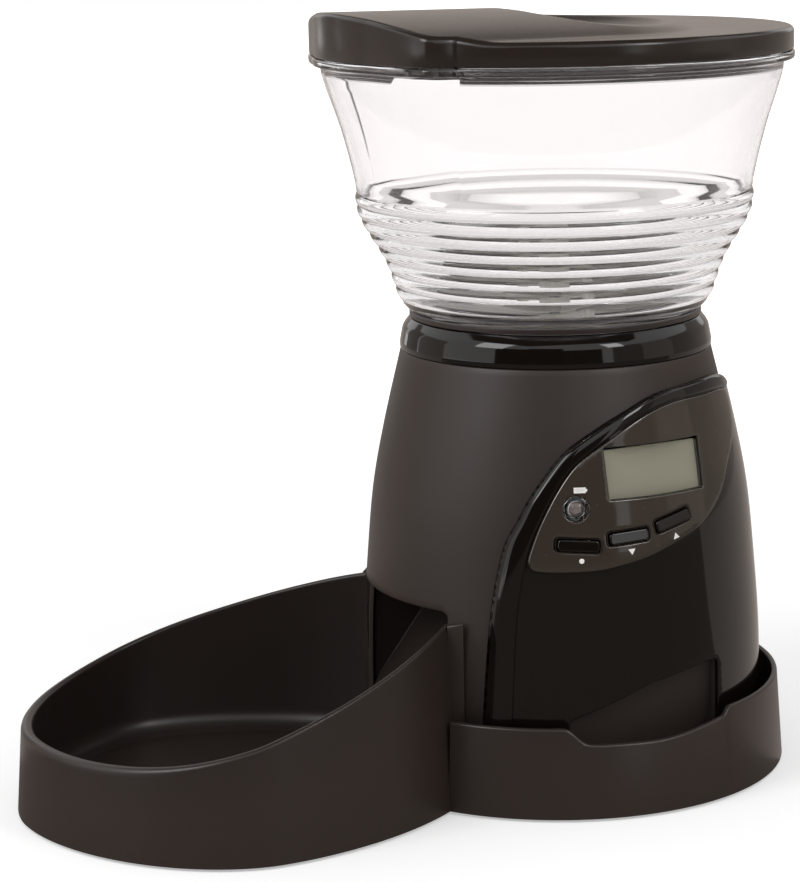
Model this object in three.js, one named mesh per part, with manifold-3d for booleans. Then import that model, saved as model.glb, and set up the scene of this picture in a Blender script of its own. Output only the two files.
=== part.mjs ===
// A programmable pet feeder. A tower with a clear hopper on top stands in a tray whose front is the bowl.
// Lengths are in millimetres and angles in degrees. Z is up and the bowl points to -Y. The pieces are
// placed round the tower's upright axis, and the whole group is then moved so that its origin lies on the
// floor at the middle of the feeder. An angle round the tower starts at -Y and grows towards +X.
import * as THREE from "three";
import { mergeVertices } from "three/addons/utils/BufferGeometryUtils.js";
import Module from "manifold-3d";

const wasm = await Module();
wasm.setup();

// Clearances, and how far a cut runs past what it cuts.
const seatGap = 0.3;
const slideGap = 0.4;
const liftGap = 0.6;
const overrun = 6;

// Flats round the large and the small turned pieces, and steps along an outline.
const roundSides = 40;
const smallSides = 12;
const curveSteps = 14;
const cornerFlats = 3;
const domeSteps = 4;
const sectorSteps = 6;

const foot = { radius: 8, height: 1.2, backPlace: 78, frontPlace: 60, frontReach: 65 };

const tray = {
  wall: 3,
  floor: 2.5,
  ringGap: 9,
  ringFlareWidth: 3,
  ringHeight: 46.5,
  bowlHalfWidth: 113.4,
  bowlFrontLength: 99,
  bowlBackLength: 149,
  bowlCentre: 198,
  bowlFlareWidth: 7.8,
  bowlPower: 1.8,
  tipWall: 6,
  tipHeight: 45,
  towerHeight: 97,
  rimEnd: 76,
  flangeStart: 60,
  flangeReach: 13,
  locatorHeight: 4,
  locatorWall: 2,
  locatorReach: 70,
};
// The rim's climb from the tip, as shares of the way to the tower and of the climb.
const rimShares = [
  [0, 0], [0.122, 0.004], [0.258, 0.075], [0.394, 0.213], [0.529, 0.386], [0.665, 0.56],
  [0.801, 0.742], [0.9, 0.875], [1, 1],
];
// The finger notch in the ring's wall, as shares of its reach along the wall and of its depth.
const notch = { reach: 64, depth: 9 };
const notchShares = [
  [-1, 1.9], [-0.905, 1.3], [-0.82, 0.6], [-0.765, 0.13], [-0.68, 0.03], [-0.18, 0], [0.04, 0.09],
  [0.23, 0.26], [0.46, 0.5], [0.53, 0.62], [0.575, 1], [0.6, 1.9],
];

const tower = {
  footRadius: 105,
  height: 219.2,
  wall: 2.5,
  openingHalfWidth: 56,
  openingBottom: 12,
  openingTop: 100,
};
// The tower's outline, as shares of its height and of its foot radius.
const towerShares = [
  [0, 1], [0.304, 0.992], [0.51, 0.962], [0.669, 0.927], [0.815, 0.868], [1, 0.775],
];
const boss = { radius: 6.5, reach: 96, height: 32, hole: 1.9, holeDepth: 18, angles: [45, 135, 225, 315] };
const screw = { headRadius: 3.4, headHeight: 1.1, shankRadius: 1.5, shankLength: 14 };
const cover = { thickness: 2.5, height: 6.2 };

// The pocket in the side that a hand lifts the tower by.
const grip = {
  depth: 12,
  left: 48.5,
  right: 36,
  bottom: 22,
  leftTop: 49,
  slopeEnd: 8,
  slopeTop: 65.5,
  levelStart: 26.3,
  rightTop: 71,
  wall: 2.5,
};

const panel = {
  angle: 96,
  reach: 92,
  bottomGap: 9.7,
  topGap: 12.5,
  field: 2.7,
  plate: 1.0,
  band: 4.0,
  bandWidth: 10,
};
// The panel's arch from its lower left to its lower right: shares of the reach and of the height.
const archShares = [
  [-0.89, 0.19], [-0.85, 0.426], [-0.78, 0.609], [-0.707, 0.69], [-0.62, 0.766], [-0.467, 0.858],
  [-0.293, 0.914], [-0.12, 0.954], [0.076, 0.988], [0.304, 1], [0.598, 1], [0.8, 0.965], [0.9, 0.85],
  [0.95, 0.6], [1, 0.18],
];
// The leaf-shaped plate's outline, in the same shares.
const leafShares = [
  [0.7, 0.954], [0.37, 0.967], [0.138, 0.962], [-0.06, 0.934], [-0.242, 0.888], [-0.408, 0.838],
  [-0.517, 0.777], [-0.614, 0.695], [-0.677, 0.619], [-0.69, 0.582], [-0.64, 0.566], [-0.38, 0.566],
  [-0.222, 0.577], [-0.05, 0.594], [0.158, 0.627], [0.322, 0.657], [0.48, 0.714], [0.588, 0.783],
  [0.733, 0.866],
];
const display = {
  angle: 97.5,
  heightShare: 0.802,
  width: 56,
  depth: 26.5,
  lens: 2,
  inset: 0.6,
  moduleDepth: 6,
  boardWidth: 62,
  boardUp: 20,
  boardDown: 28,
  board: 1.6,
};
const lamp = { angle: 71.6, heightShare: 0.721, radius: 6.25, bore: 4.2, lens: 2.5, dome: 1.6, stem: 6 };
const lampRise = { ring: 0.6, led: 0.2 };
const keys = [
  { name: "key_left", angle: 72, heightShare: 0.629, turn: -4 },
  { name: "key_middle", angle: 86.5, heightShare: 0.645, turn: 3.5 },
  { name: "key_right", angle: 100.7, heightShare: 0.672, turn: 12.5 },
];
const key = { width: 21, depth: 6, corner: 2, proud: 0.6, stem: 1, recessWidth: 23.5, recessDepth: 8 };
const mat = { thickness: 2, below: 7, above: 5.7, left: 42, right: 22 };

const collar = {
  height: 16.2,
  shoulderRadius: 80.2,
  shoulderDrop: 5,
  topRadius: 76.2,
  bore: 74.6,
  ledge: 72,
  ledgeHeight: 2.7,
  spigot: 7.8,
};
const neckRing = { height: 2.7, bore: 70, outer: 76.5 };
const deck = { thickness: 3, cupBore: 66, cupWall: 2.5, cupHeight: 16 };
const outlet = { near: 42, far: 60, halfAngle: 27 };
const baffle = { thickness: 2, near: 14, halfAngle: 33 };
const wheel = { hub: 12, vanes: 6, vaneThickness: 2.5, reach: 65, height: 15 };
const agitator = { hub: 8, height: 19, armLength: 90, armWidth: 6, armHeight: 5, finger: 12, cap: 4 };
const shaft = { radius: 3, rise: 36 };

// Gears. The teeth are counted, and the shares give a tooth's half widths in tooth pitches.
const gearModule = 1.25;
const outputTeeth = 44;
const pinionTeeth = 12;
const wheelTeeth = 32;
const motorTeeth = 10;
const toothShares = { root: 0.25, tip: 0.11, addendum: 0.85, dedendum: 1.2 };
const mesh = { apart: 0.3 };
const gearCase = { plate: 2.5, wall: 2, clearance: 1.5, drop: 29, inside: 20.5, bossRadius: 4 };
const gearWidths = { output: 8, pinion: 9, wheel: 7, motor: 7.5 };
const idlerPin = { radius: 2.5 };
const motor = { radius: 13.5, height: 38, shaftRadius: 1.2, shaftDepth: 2.5 };

const duct = { wall: 2.5, halfWidth: 28.5, near: 37, far: 61 };
const spout = { wall: 2.5, gap: 0.5, back: 33, lip: 101, roofRise: 3, floor: 3 };

const cell = { radius: 16.8, height: 61, ring: 78, pitch: 27, nub: 4, nubHeight: 1.2 };
const bay = { angle: 195, halfWidth: 56, wall: 2, depth: 49, bottom: 48, contact: 0.9 };
const door = { halfWidth: 55, bottom: 50.5, top: 113.5, tabWidth: 18, tabDepth: 1.8, tabHeight: 5 };

const hopper = {
  floor: 2.5,
  wall: 2.5,
  outlet: 64,
  spigot: 69.5,
  spigotDepth: 2.4,
  footRadius: 76,
  height: 132.5,
  ribs: 8,
  ribRise: 1.2,
  ribHeight: 0.9,
  ribStart: 8,
  ribEnd: 60,
  flangeHeight: 4.5,
  flangeProud: 0.5,
  mouthInset: 5.2,
};
// The hopper's outline as shares of its height and of the way from its foot's radius to its mouth's, and
// how far each level has turned from a round plan into the lid's plan.
const hopperShares = [
  [0, 0, 0], [0.036, 0.108, 0], [0.2, 0.292, 0], [0.36, 0.579, 0], [0.43, 0.639, 0.08],
  [0.49, 0.639, 0.12], [0.7, 0.787, 0.5], [0.93, 1, 1], [1, 1, 1],
];
// The first level above the ribs, and the first one of the inside.
const firstPlainLevel = 6;
const firstInsideLevel = 3;

const lid = {
  radius: 123.5,
  tongueHalfWidth: 86,
  tongueBack: 2.5,
  frontRadius: 200,
  cornerPower: 30,
  skirt: 12,
  edge: 3,
  wall: 2.5,
  rise: 10.4,
  frontRise: 1.5,
  archRadius: 400,
  backRadius: 225,
  lipGap: 1.2,
  lipWall: 2,
  lipDepth: 6,
};
const dish = { centre: 16, halfWidth: 73, halfLength: 43, depth: 14, wall: 2.5 };
const archFlats = 8;
const domeEndShare = 0.95;
const planStep = 10;
const cornerSteps = [-6, -3, -1, 1, 3, 6];

const finishes = {
  charcoal: { color: 0x2b292b, roughness: 0.55 },
  satinBlack: { color: 0x1e1c1e, roughness: 0.35 },
  glossBlack: { color: 0x0c0b0d, roughness: 0.12 },
  lidBlack: { color: 0x242123, roughness: 0.3 },
  darkGrey: { color: 0x3a3a3c, roughness: 0.6 },
  white: { color: 0xd8d6d0, roughness: 0.5 },
  nylon: { color: 0xe8e4d8, roughness: 0.45 },
  rubber: { color: 0x1a1a1a, roughness: 0.9 },
  board: { color: 0x1f5a32, roughness: 0.4 },
  steel: { color: 0xb8babd, roughness: 0.3, metalness: 1 },
  nickel: { color: 0xc9c6bd, roughness: 0.25, metalness: 1 },
  displayGrey: { color: 0x8b8d72, roughness: 0.25 },
  clearPlastic: { color: 0xe6eaec, roughness: 0.05, transparent: true, opacity: 0.25 },
  clearLens: { color: 0xdfe4e2, roughness: 0.05, transparent: true, opacity: 0.3 },
  lampClear: { color: 0xc7b0a8, roughness: 0.2, transparent: true, opacity: 0.6 },
  cellJacket: { color: 0x4a4f58, roughness: 0.35 },
};

// Places that follow from the sizes above.
const trayBottom = foot.height + seatGap;
const trayFloorTop = trayBottom + tray.floor;
const towerBottom = trayFloorTop + seatGap;
const towerTop = towerBottom + tower.height;
const collarBottom = towerTop + seatGap;
const collarTop = collarBottom + collar.height;
const deckBottom = collarBottom - collar.spigot + collar.ledgeHeight + seatGap;
const deckTop = deckBottom + deck.thickness;
const cupTop = deckTop + deck.cupHeight;
const baffleBottom = cupTop + seatGap;
const shaftTop = deckTop + shaft.rise;
const caseBottom = deckBottom - gearCase.drop;
const spoutRoof = tower.openingTop + spout.roofRise;
const ductBottom = spoutRoof + spout.wall + seatGap;
const panelBottom = towerBottom + panel.bottomGap;
const panelTop = towerTop - panel.topGap;
const panelHeight = panelTop - panelBottom;
const heightAt = (control) => panelBottom + control.heightShare * panelHeight;
const ringTop = collarTop + seatGap + neckRing.height;
const hopperBottom = ringTop + seatGap;
const hopperTop = hopperBottom + hopper.height;
const lidBottom = hopperTop + seatGap;
const ledgeTop = lidBottom + lid.skirt;
const bowlTip = tray.bowlCentre + tray.bowlFrontLength;
const towerClear = tower.footRadius + liftGap;
const ringTopRadius = tower.footRadius + tray.ringGap + tray.wall;
const ringFootRadius = ringTopRadius + tray.ringFlareWidth;
const mouthRadius = lid.radius - hopper.mouthInset;
const flangeRadius = lid.radius + hopper.flangeProud;
const tongueFront = lid.radius - lid.tongueBack;
const middle = (bowlTip - flangeRadius) / 2;

const fullTurn = 360;
const radians = THREE.MathUtils.degToRad;
const shift = (x, y, z) => new THREE.Matrix4().makeTranslation(x, y, z);

// A closed solid from a geometry, whichever way its faces turn.
const weld = 0.001;
function solidFrom(geometry) {
  const bare = geometry.clone();
  bare.deleteAttribute("normal");
  bare.deleteAttribute("uv");
  const merged = mergeVertices(bare, weld);
  const corners = merged.index.array;
  const triangles = [];
  for (let i = 0; i < corners.length; i += 3) {
    const [a, b, c] = corners.slice(i, i + 3);
    if (a !== b && b !== c && c !== a) triangles.push(a, b, c);
  }
  const made = (triVerts) =>
    new wasm.Manifold(
      new wasm.Mesh({
        numProp: 3,
        vertProperties: merged.attributes.position.array,
        triVerts: new Uint32Array(triVerts),
      }),
    );
  const solid = made(triangles);
  return solid.volume() < 0 ? made(triangles.reverse()) : solid;
}

// A named mesh from a solid.
function piece(name, solid, material) {
  const data = solid.getMesh();
  const position = new Float32Array(data.numVert * 3);
  for (let i = 0; i < data.numVert; i++) {
    position.set(data.vertProperties.subarray(i * data.numProp, i * data.numProp + 3), i * 3);
  }
  const geometry = new THREE.BufferGeometry();
  geometry.setAttribute("position", new THREE.BufferAttribute(position, 3));
  geometry.setIndex(new THREE.BufferAttribute(data.triVerts, 1));
  geometry.computeVertexNormals();
  const made = new THREE.Mesh(geometry, material);
  made.name = name;
  return made;
}

// A box that stands on its frame's XY plane.
function block(width, depth, height, place = new THREE.Matrix4()) {
  const geometry = new THREE.BoxGeometry(width, depth, height);
  geometry.translate(0, 0, height / 2);
  return solidFrom(geometry.applyMatrix4(place));
}

// A round rod that stands on its frame's XY plane.
function rod(radius, height, place = new THREE.Matrix4(), sides = smallSides) {
  const geometry = new THREE.CylinderGeometry(radius, radius, height, sides);
  geometry.rotateX(Math.PI / 2);
  geometry.translate(0, 0, height / 2);
  return solidFrom(geometry.applyMatrix4(place));
}

// A solid turned about Z from a profile of radius and height.
function turned(profile, sides = roundSides, place = new THREE.Matrix4()) {
  const points = profile.map(([radius, height]) => new THREE.Vector2(radius, height));
  const onAxis = profile[0][0] === 0 && profile.at(-1)[0] === 0;
  if (!onAxis) points.push(points[0].clone());
  const geometry = new THREE.LatheGeometry(points, sides);
  geometry.rotateX(Math.PI / 2);
  return solidFrom(geometry.applyMatrix4(place));
}

// An outline pushed along its frame's Z.
function prism(outline, length, place = new THREE.Matrix4()) {
  const shape = new THREE.Shape(outline.map(([x, y]) => new THREE.Vector2(x, y)));
  const geometry = new THREE.ExtrudeGeometry(shape, { depth: length, bevelEnabled: false });
  return solidFrom(geometry.applyMatrix4(place));
}

// A skin through rings of points. Its ends are capped, or its last ring joins its first.
function loft(rings, joined = false) {
  const across = rings[0].length;
  const position = rings.flat(2);
  const corners = [];
  const last = joined ? rings.length : rings.length - 1;
  for (let level = 0; level < last; level++) {
    const low = level * across;
    const high = ((level + 1) % rings.length) * across;
    for (let i = 0; i < across; i++) {
      const next = (i + 1) % across;
      corners.push(low + i, low + next, high + next, low + i, high + next, high + i);
    }
  }
  if (!joined) {
    for (const [ring, start, turn] of [[rings[0], 0, 1], [rings.at(-1), (rings.length - 1) * across, 0]]) {
      const centre = position.length / 3;
      position.push(...[0, 1, 2].map((axis) => ring.reduce((sum, p) => sum + p[axis], 0) / across));
      for (let i = 0; i < across; i++) {
        const pair = [start + i, start + ((i + 1) % across)];
        corners.push(centre, pair[turn], pair[1 - turn]);
      }
    }
  }
  const geometry = new THREE.BufferGeometry();
  geometry.setAttribute("position", new THREE.Float32BufferAttribute(position, 3));
  geometry.setIndex(corners);
  return solidFrom(geometry);
}

// Points along a smooth curve through the given ones.
function smooth(points, steps, closed = false) {
  const curve = new THREE.SplineCurve(points.map(([x, y]) => new THREE.Vector2(x, y)));
  if (!closed) return curve.getPoints(steps).map((p) => [p.x, p.y]);
  const ring = new THREE.CatmullRomCurve3(points.map(([x, y]) => new THREE.Vector3(x, y, 0)), true);
  return ring.getPoints(steps).slice(0, -1).map((p) => [p.x, p.y]);
}

// The upright plane that is seen from the side: X to the back, Y up and Z towards +X.
const sideways = new THREE.Matrix4().makeBasis(
  new THREE.Vector3(0, 1, 0),
  new THREE.Vector3(0, 0, 1),
  new THREE.Vector3(1, 0, 0),
);

// The upright plane that faces out at an angle: X along the wall, Y up and Z out, at a distance.
function facing(angle, distance = 0) {
  const a = radians(angle);
  const out = new THREE.Vector3(Math.sin(a), -Math.cos(a), 0);
  const along = new THREE.Vector3(Math.cos(a), Math.sin(a), 0);
  const up = new THREE.Vector3(0, 0, 1);
  return new THREE.Matrix4().makeBasis(along, up, out).setPosition(out.clone().multiplyScalar(distance));
}

const towerProfile = towerShares.map(([height, radius]) => [
  radius * tower.footRadius,
  towerBottom + height * tower.height,
]);

// The radius of the tower's outside at a height.
function towerRadius(height) {
  const above = Math.max(1, towerProfile.findIndex(([, level]) => level >= height));
  const [low, high] = [towerProfile[above - 1], towerProfile[above]];
  const part = (height - low[1]) / (high[1] - low[1]);
  return low[0] + part * (high[0] - low[0]);
}

// A frame on the sloping wall at an angle and a height: X along the wall, Y up it and Z straight out.
function onWall(angle, height, stand = 0, turn = 0) {
  const a = radians(angle);
  const step = tower.wall;
  const fall = towerRadius(height - step) - towerRadius(height + step);
  const slope = Math.atan(fall / (2 * step));
  const level = Math.cos(slope);
  const out = new THREE.Vector3(Math.sin(a) * level, -Math.cos(a) * level, Math.sin(slope));
  const along = new THREE.Vector3(Math.cos(a), Math.sin(a), 0);
  const up = new THREE.Vector3().crossVectors(out, along);
  const radius = towerRadius(height);
  const at = new THREE.Vector3(Math.sin(a) * radius, -Math.cos(a) * radius, height);
  at.addScaledVector(out, stand);
  const frame = new THREE.Matrix4().makeBasis(along, up, out).setPosition(at);
  return frame.multiply(new THREE.Matrix4().makeRotationZ(radians(turn)));
}

// A layer of the tower's wall between two distances from its outside, over a range of heights.
function wallLayer(inner, outer, bottom, top) {
  const between = towerProfile.map(([, level]) => level).filter((level) => level > bottom && level < top);
  const levels = [bottom, ...between, top];
  const outside = levels.map((level) => [towerRadius(level) + outer, level]);
  const inside = levels.map((level) => [towerRadius(level) + inner, level]).reverse();
  return turned([...outside, ...inside]);
}

// Everything inside the tower's wall, less a gap.
function insideTower(gap) {
  const outline = towerProfile.map(([radius, level]) => [radius - tower.wall - gap, level]);
  return turned([[0, towerBottom], ...outline, [0, towerTop]]);
}

// The lid's plan: a circle with a wider tongue in front, whose face is slightly curved.
function planRadius(angle) {
  const across = Math.abs(Math.sin(radians(angle)));
  const ahead = Math.cos(radians(angle));
  if (ahead <= 0) return lid.radius;
  const bulge = (across * across) / (2 * lid.frontRadius);
  const root = Math.sqrt(ahead * ahead + 4 * bulge * tongueFront);
  const front = (2 * tongueFront) / (ahead + root);
  const least = lid.tongueHalfWidth / lid.radius;
  const side = across < least / 2 ? lid.radius * 2 : lid.tongueHalfWidth / across;
  const power = lid.cornerPower;
  const near = front * (1 + (front / side) ** power) ** (-1 / power);
  return Math.max(lid.radius, near);
}

// The angles that the plan is drawn at, closer together at the tongue's two corners.
function planAngles() {
  const drop = lid.tongueHalfWidth ** 2 / (2 * lid.frontRadius);
  const corner = THREE.MathUtils.radToDeg(Math.atan2(lid.tongueHalfWidth, tongueFront - drop));
  const fine = [corner, fullTurn - corner].flatMap((centre) => cornerSteps.map((step) => centre + step));
  const reach = cornerSteps.at(-1) + planStep / 2;
  const coarse = [];
  for (let angle = 0; angle < fullTurn; angle += planStep) {
    const free = [corner, fullTurn - corner].every((centre) => Math.abs(angle - centre) > reach);
    if (free) coarse.push(angle);
  }
  return [...fine, ...coarse].sort((a, b) => a - b);
}
const angles = planAngles();

// A ring of points round the tower's axis, with its radius given for each angle.
function ring(radiusAt, height) {
  return angles.map((angle) => {
    const a = radians(angle);
    const radius = radiusAt(angle);
    return [radius * Math.sin(a), -radius * Math.cos(a), height];
  });
}
const planRing = (inset, height) => ring((angle) => planRadius(angle) - inset, height);


// The bowl's outline at a height, drawn in by the draft and by insets at its sides and at its tip. It is
// longer behind its widest place than in front of it.
function bowlRing(height, sideInset, tipInset) {
  const part = (height - trayBottom) / tray.towerHeight;
  const shrink = part * tray.bowlFlareWidth;
  const bent = (value) => Math.sign(value) * Math.abs(value) ** (2 / tray.bowlPower);
  const points = [];
  for (let i = 0; i < roundSides; i++) {
    const a = (2 * Math.PI * i) / roundSides;
    const ahead = Math.sin(a) < 0;
    const length = ahead ? tray.bowlFrontLength - tipInset : tray.bowlBackLength - sideInset;
    const x = (tray.bowlHalfWidth - shrink - sideInset) * bent(Math.cos(a));
    const y = (length - shrink) * bent(Math.sin(a)) - tray.bowlCentre;
    points.push([x, y, height]);
  }
  return points;
}

// What lies under the bowl's rim, which climbs from the tip to the tower.
function underRim() {
  const reach = bowlTip - tray.rimEnd;
  const climb = tray.towerHeight - tray.tipHeight;
  const tipTop = trayBottom + tray.tipHeight;
  const rim = rimShares.map(([along, up]) => [along * reach - bowlTip, tipTop + up * climb]);
  const top = trayBottom + tray.towerHeight;
  const outline = [
    [-bowlTip - overrun, trayBottom - overrun],
    [-bowlTip - overrun, rim[0][1]],
    ...smooth(rim, curveSteps),
    [0, top],
    [0, trayBottom - overrun],
  ];
  const span = 2 * (tray.bowlHalfWidth + overrun);
  return prism(outline, span, sideways.clone().setPosition(-span / 2, 0, 0));
}

// The finger notch in the ring's wall, beside the tower's grip.
function notchCut() {
  const floor = trayBottom + tray.ringHeight - notch.depth;
  const outline = notchShares.map(([along, up]) => [along * notch.reach, floor + up * notch.depth]);
  return prism(outline, ringFootRadius, facing(panel.angle, grip.depth));
}

function baseTray() {
  const top = trayBottom + tray.towerHeight;
  const ringTopLevel = trayBottom + tray.ringHeight;
  const ringWall = turned([
    [ringFootRadius - tray.wall, trayBottom],
    [ringFootRadius, trayBottom],
    [ringTopRadius, ringTopLevel],
    [ringTopRadius - tray.wall, ringTopLevel],
  ]);
  const bowlOuter = loft([bowlRing(trayBottom, 0, 0), bowlRing(top, 0, 0)]);
  const innerLevels = [trayFloorTop, top + overrun];
  const bowlInner = loft(innerLevels.map((level) => bowlRing(level, tray.wall, tray.tipWall)));
  const floorRadius = ringFootRadius - tray.wall / 2;
  const ringInside = rod(floorRadius, tray.floor, shift(0, 0, trayBottom), roundSides);
  const towerSpace = rod(towerClear, tray.towerHeight + overrun, shift(0, 0, trayFloorTop), roundSides);
  const bowlWall = bowlOuter.intersect(underRim()).subtract(bowlInner).subtract(towerSpace);
  const roundTower = turned([
    [towerClear, trayBottom],
    [towerClear + tray.wall, trayBottom],
    [towerClear + tray.wall, top],
    [towerClear, top],
  ]).intersect(underRim());
  const flanges = [-1, 1].map((side) => {
    const place = shift(side * (tray.flangeStart + tray.flangeReach / 2), -tower.footRadius / 2, 0);
    return roundTower.intersect(block(tray.flangeReach, tower.footRadius, top, place));
  });
  const locatorInner = towerClear + slideGap;
  const locatorSpan = 2 * ringFootRadius;
  const locator = turned([
    [locatorInner, trayFloorTop - tray.floor / 2],
    [locatorInner + tray.locatorWall, trayFloorTop - tray.floor / 2],
    [locatorInner + tray.locatorWall, trayFloorTop + tray.locatorHeight],
    [locatorInner, trayFloorTop + tray.locatorHeight],
  ]).subtract(
    block(locatorSpan, ringFootRadius, top, shift(0, -tray.locatorReach - ringFootRadius / 2, 0)),
  );
  const low = ringWall.subtract(bowlInner).subtract(notchCut()).add(ringInside).add(locator);
  return low.add(bowlWall).add(flanges[0]).add(flanges[1]);
}

function feet(material) {
  const reach = tray.bowlCentre + foot.frontReach;
  const places = [
    [foot.backPlace, foot.backPlace],
    [-foot.backPlace, foot.backPlace],
    [foot.frontPlace, -reach],
    [-foot.frontPlace, -reach],
  ];
  return places.map(([x, y], i) => {
    const made = piece("foot_" + (i + 1), rod(foot.radius, foot.height), material);
    made.position.set(x, y, 0);
    return made;
  });
}

// The grip pocket's outline on the panel's plane, grown by a margin.
function gripOutline(margin) {
  return [
    [-grip.left - margin, grip.bottom - margin],
    [grip.right + margin, grip.bottom - margin],
    [grip.right + margin, grip.rightTop - grip.wall + margin],
    [grip.right - grip.wall + margin, grip.rightTop + margin],
    [grip.levelStart + margin / 2, grip.rightTop + margin],
    [-grip.slopeEnd, grip.slopeTop + margin],
    [-grip.left - margin, grip.leftTop + margin],
  ];
}
function gripSpace(margin, length) {
  return prism(gripOutline(margin), length, facing(panel.angle, tower.footRadius - grip.depth - margin));
}

// The panel's outline and the leaf plate's, on the panel's plane.
const onPanel = ([along, up]) => [along * panel.reach, panelBottom + up * panelHeight];
function panelOutline() {
  const arch = smooth(archShares.map(onPanel), 2 * curveSteps);
  return [[arch[0][0], panelBottom], ...arch, [panel.reach, panelBottom]];
}
function leafOutline() {
  return smooth(leafShares.map(onPanel), 2 * curveSteps, true);
}
// The arch moved in from its left and top, which leaves the raised band.
function fieldOutline() {
  return panelOutline().map(([x, y]) => [x + panel.bandWidth, y - panel.bandWidth / 2]);
}
// An outline moved out along its own normals.
function grown(outline, by) {
  return outline.map(([x, y], i) => {
    const [before, after] = [outline.at(i - 1), outline[(i + 1) % outline.length]];
    const [dx, dy] = [after[0] - before[0], after[1] - before[1]];
    const length = Math.hypot(dx, dy);
    return [x + (by * dy) / length, y - (by * dx) / length];
  });
}
function throughPanel(outline) {
  return prism(outline, tower.footRadius, facing(panel.angle, grip.depth));
}

// The holes for the display, the lamp and the keys, from inside the wall to outside the panel.
const wallDepth = 4 * tower.wall;
function displayHole(gap) {
  const stand = -3 * wallDepth / 2;
  const place = onWall(display.angle, heightAt(display), stand);
  return block(display.width + gap, display.depth + gap, 2 * wallDepth, place);
}
function lampHole(gap) {
  return rod(lamp.radius + gap, 2 * wallDepth, onWall(lamp.angle, heightAt(lamp), -wallDepth));
}
function roundedOutline(width, depth, corner) {
  const shape = new THREE.Shape();
  const [x, y] = [width / 2, depth / 2];
  shape.moveTo(-x + corner, -y);
  shape.lineTo(x - corner, -y);
  shape.absarc(x - corner, -y + corner, corner, -Math.PI / 2, 0);
  shape.absarc(x - corner, y - corner, corner, 0, Math.PI / 2);
  shape.absarc(-x + corner, y - corner, corner, Math.PI / 2, Math.PI);
  shape.absarc(-x + corner, -y + corner, corner, Math.PI, 1.5 * Math.PI);
  return shape.getPoints(cornerFlats).slice(0, -1).map((p) => [p.x, p.y]);
}
function keyForm(one, width, depth, low, high) {
  const outline = roundedOutline(width, depth, key.corner);
  return prism(outline, high - low, onWall(one.angle, heightAt(one), low, one.turn));
}
function keyHole(one) {
  return keyForm(one, key.width + 2 * slideGap, key.depth + 2 * slideGap, -wallDepth, wallDepth);
}
function controlHoles(solid) {
  const cut = solid.subtract(displayHole(0)).subtract(lampHole(slideGap));
  return keys.reduce((left, one) => left.subtract(keyHole(one)), cut);
}

// The battery door's outline through the wall, grown by a gap.
function doorSpace(gap) {
  const width = 2 * (door.halfWidth + gap);
  const low = door.bottom - gap;
  const place = facing(bay.angle, tower.footRadius / 2);
  const outline = [
    [-width / 2, low],
    [width / 2, low],
    [width / 2, door.top + gap],
    [-width / 2, door.top + gap],
  ];
  return prism(outline, tower.footRadius, place);
}

function towerShell() {
  const wall = wallLayer(-tower.wall, 0, towerBottom, towerTop);
  const pocket = gripSpace(grip.wall, tower.footRadius).intersect(insideTower(-tower.wall / 2));
  const bosses = boss.angles.map((angle) => {
    const a = radians(angle);
    const base = cover.height + cover.thickness + seatGap;
    const place = shift(boss.reach * Math.sin(a), -boss.reach * Math.cos(a), base);
    return rod(boss.radius, boss.height, place)
      .intersect(insideTower(-tower.wall / 2))
      .subtract(rod(boss.hole, boss.holeDepth, place));
  });
  const opening = block(
    2 * tower.openingHalfWidth,
    tower.footRadius,
    tower.openingTop - tower.openingBottom,
    shift(0, -tower.footRadius, tower.openingBottom),
  );
  const whole = bosses.reduce((all, one) => all.add(one), wall.add(pocket));
  const open = whole.subtract(opening).subtract(gripSpace(0, tower.footRadius)).subtract(doorSpace(slideGap));
  return controlHoles(open);
}

function controlPanel() {
  const base = seatGap;
  const field = wallLayer(base, base + panel.field, panelBottom, panelTop);
  const band = wallLayer(base, base + panel.band, panelBottom, panelTop);
  const plateSpace = throughPanel(grown(leafOutline(), liftGap));
  const raised = band.subtract(throughPanel(fieldOutline())).subtract(plateSpace);
  const whole = field.add(raised).intersect(throughPanel(panelOutline()));
  return controlHoles(whole.subtract(gripSpace(0, 2 * tower.footRadius)));
}

function controlPlate() {
  const base = seatGap + panel.field + seatGap;
  const layer = wallLayer(base, base + panel.plate, panelBottom, panelTop);
  const recesses = keys.map((one) => keyForm(one, key.recessWidth, key.recessDepth, -wallDepth, wallDepth));
  const leaf = layer.intersect(throughPanel(leafOutline()));
  const whole = leaf.subtract(displayHole(0)).subtract(lampHole(slideGap));
  return recesses.reduce((left, one) => left.subtract(one), whole);
}

// How far the window's flat face lies below the wall's bulge at its middle.
const faceRadius = towerRadius(heightAt(display));
const windowFall = faceRadius - Math.sqrt(faceRadius ** 2 - (display.width / 2) ** 2);
const lensTop = panel.band - windowFall - display.inset;

function displayLens() {
  const place = onWall(display.angle, heightAt(display), lensTop - display.lens);
  return block(display.width - 2 * seatGap, display.depth - 2 * seatGap, display.lens, place);
}

const moduleTop = lensTop - display.lens - seatGap;
function displayModule() {
  const place = onWall(display.angle, heightAt(display), moduleTop - display.moduleDepth);
  const glass = block(display.width - 2 * seatGap, display.depth - 2 * seatGap, display.moduleDepth, place);
  const back = onWall(display.angle, heightAt(display), moduleTop - display.moduleDepth - display.lens);
  return glass.add(block(display.width + overrun, display.depth + overrun, display.lens + weld, back));
}

function circuitBoard() {
  const back = moduleTop - display.moduleDepth - display.lens - seatGap - display.board;
  const place = onWall(display.angle, heightAt(display), back);
  const rise = (display.boardUp - display.boardDown) / 2;
  const height = display.boardUp + display.boardDown;
  return block(display.boardWidth, height, display.board, place.multiply(shift(0, rise, 0)));
}

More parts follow.
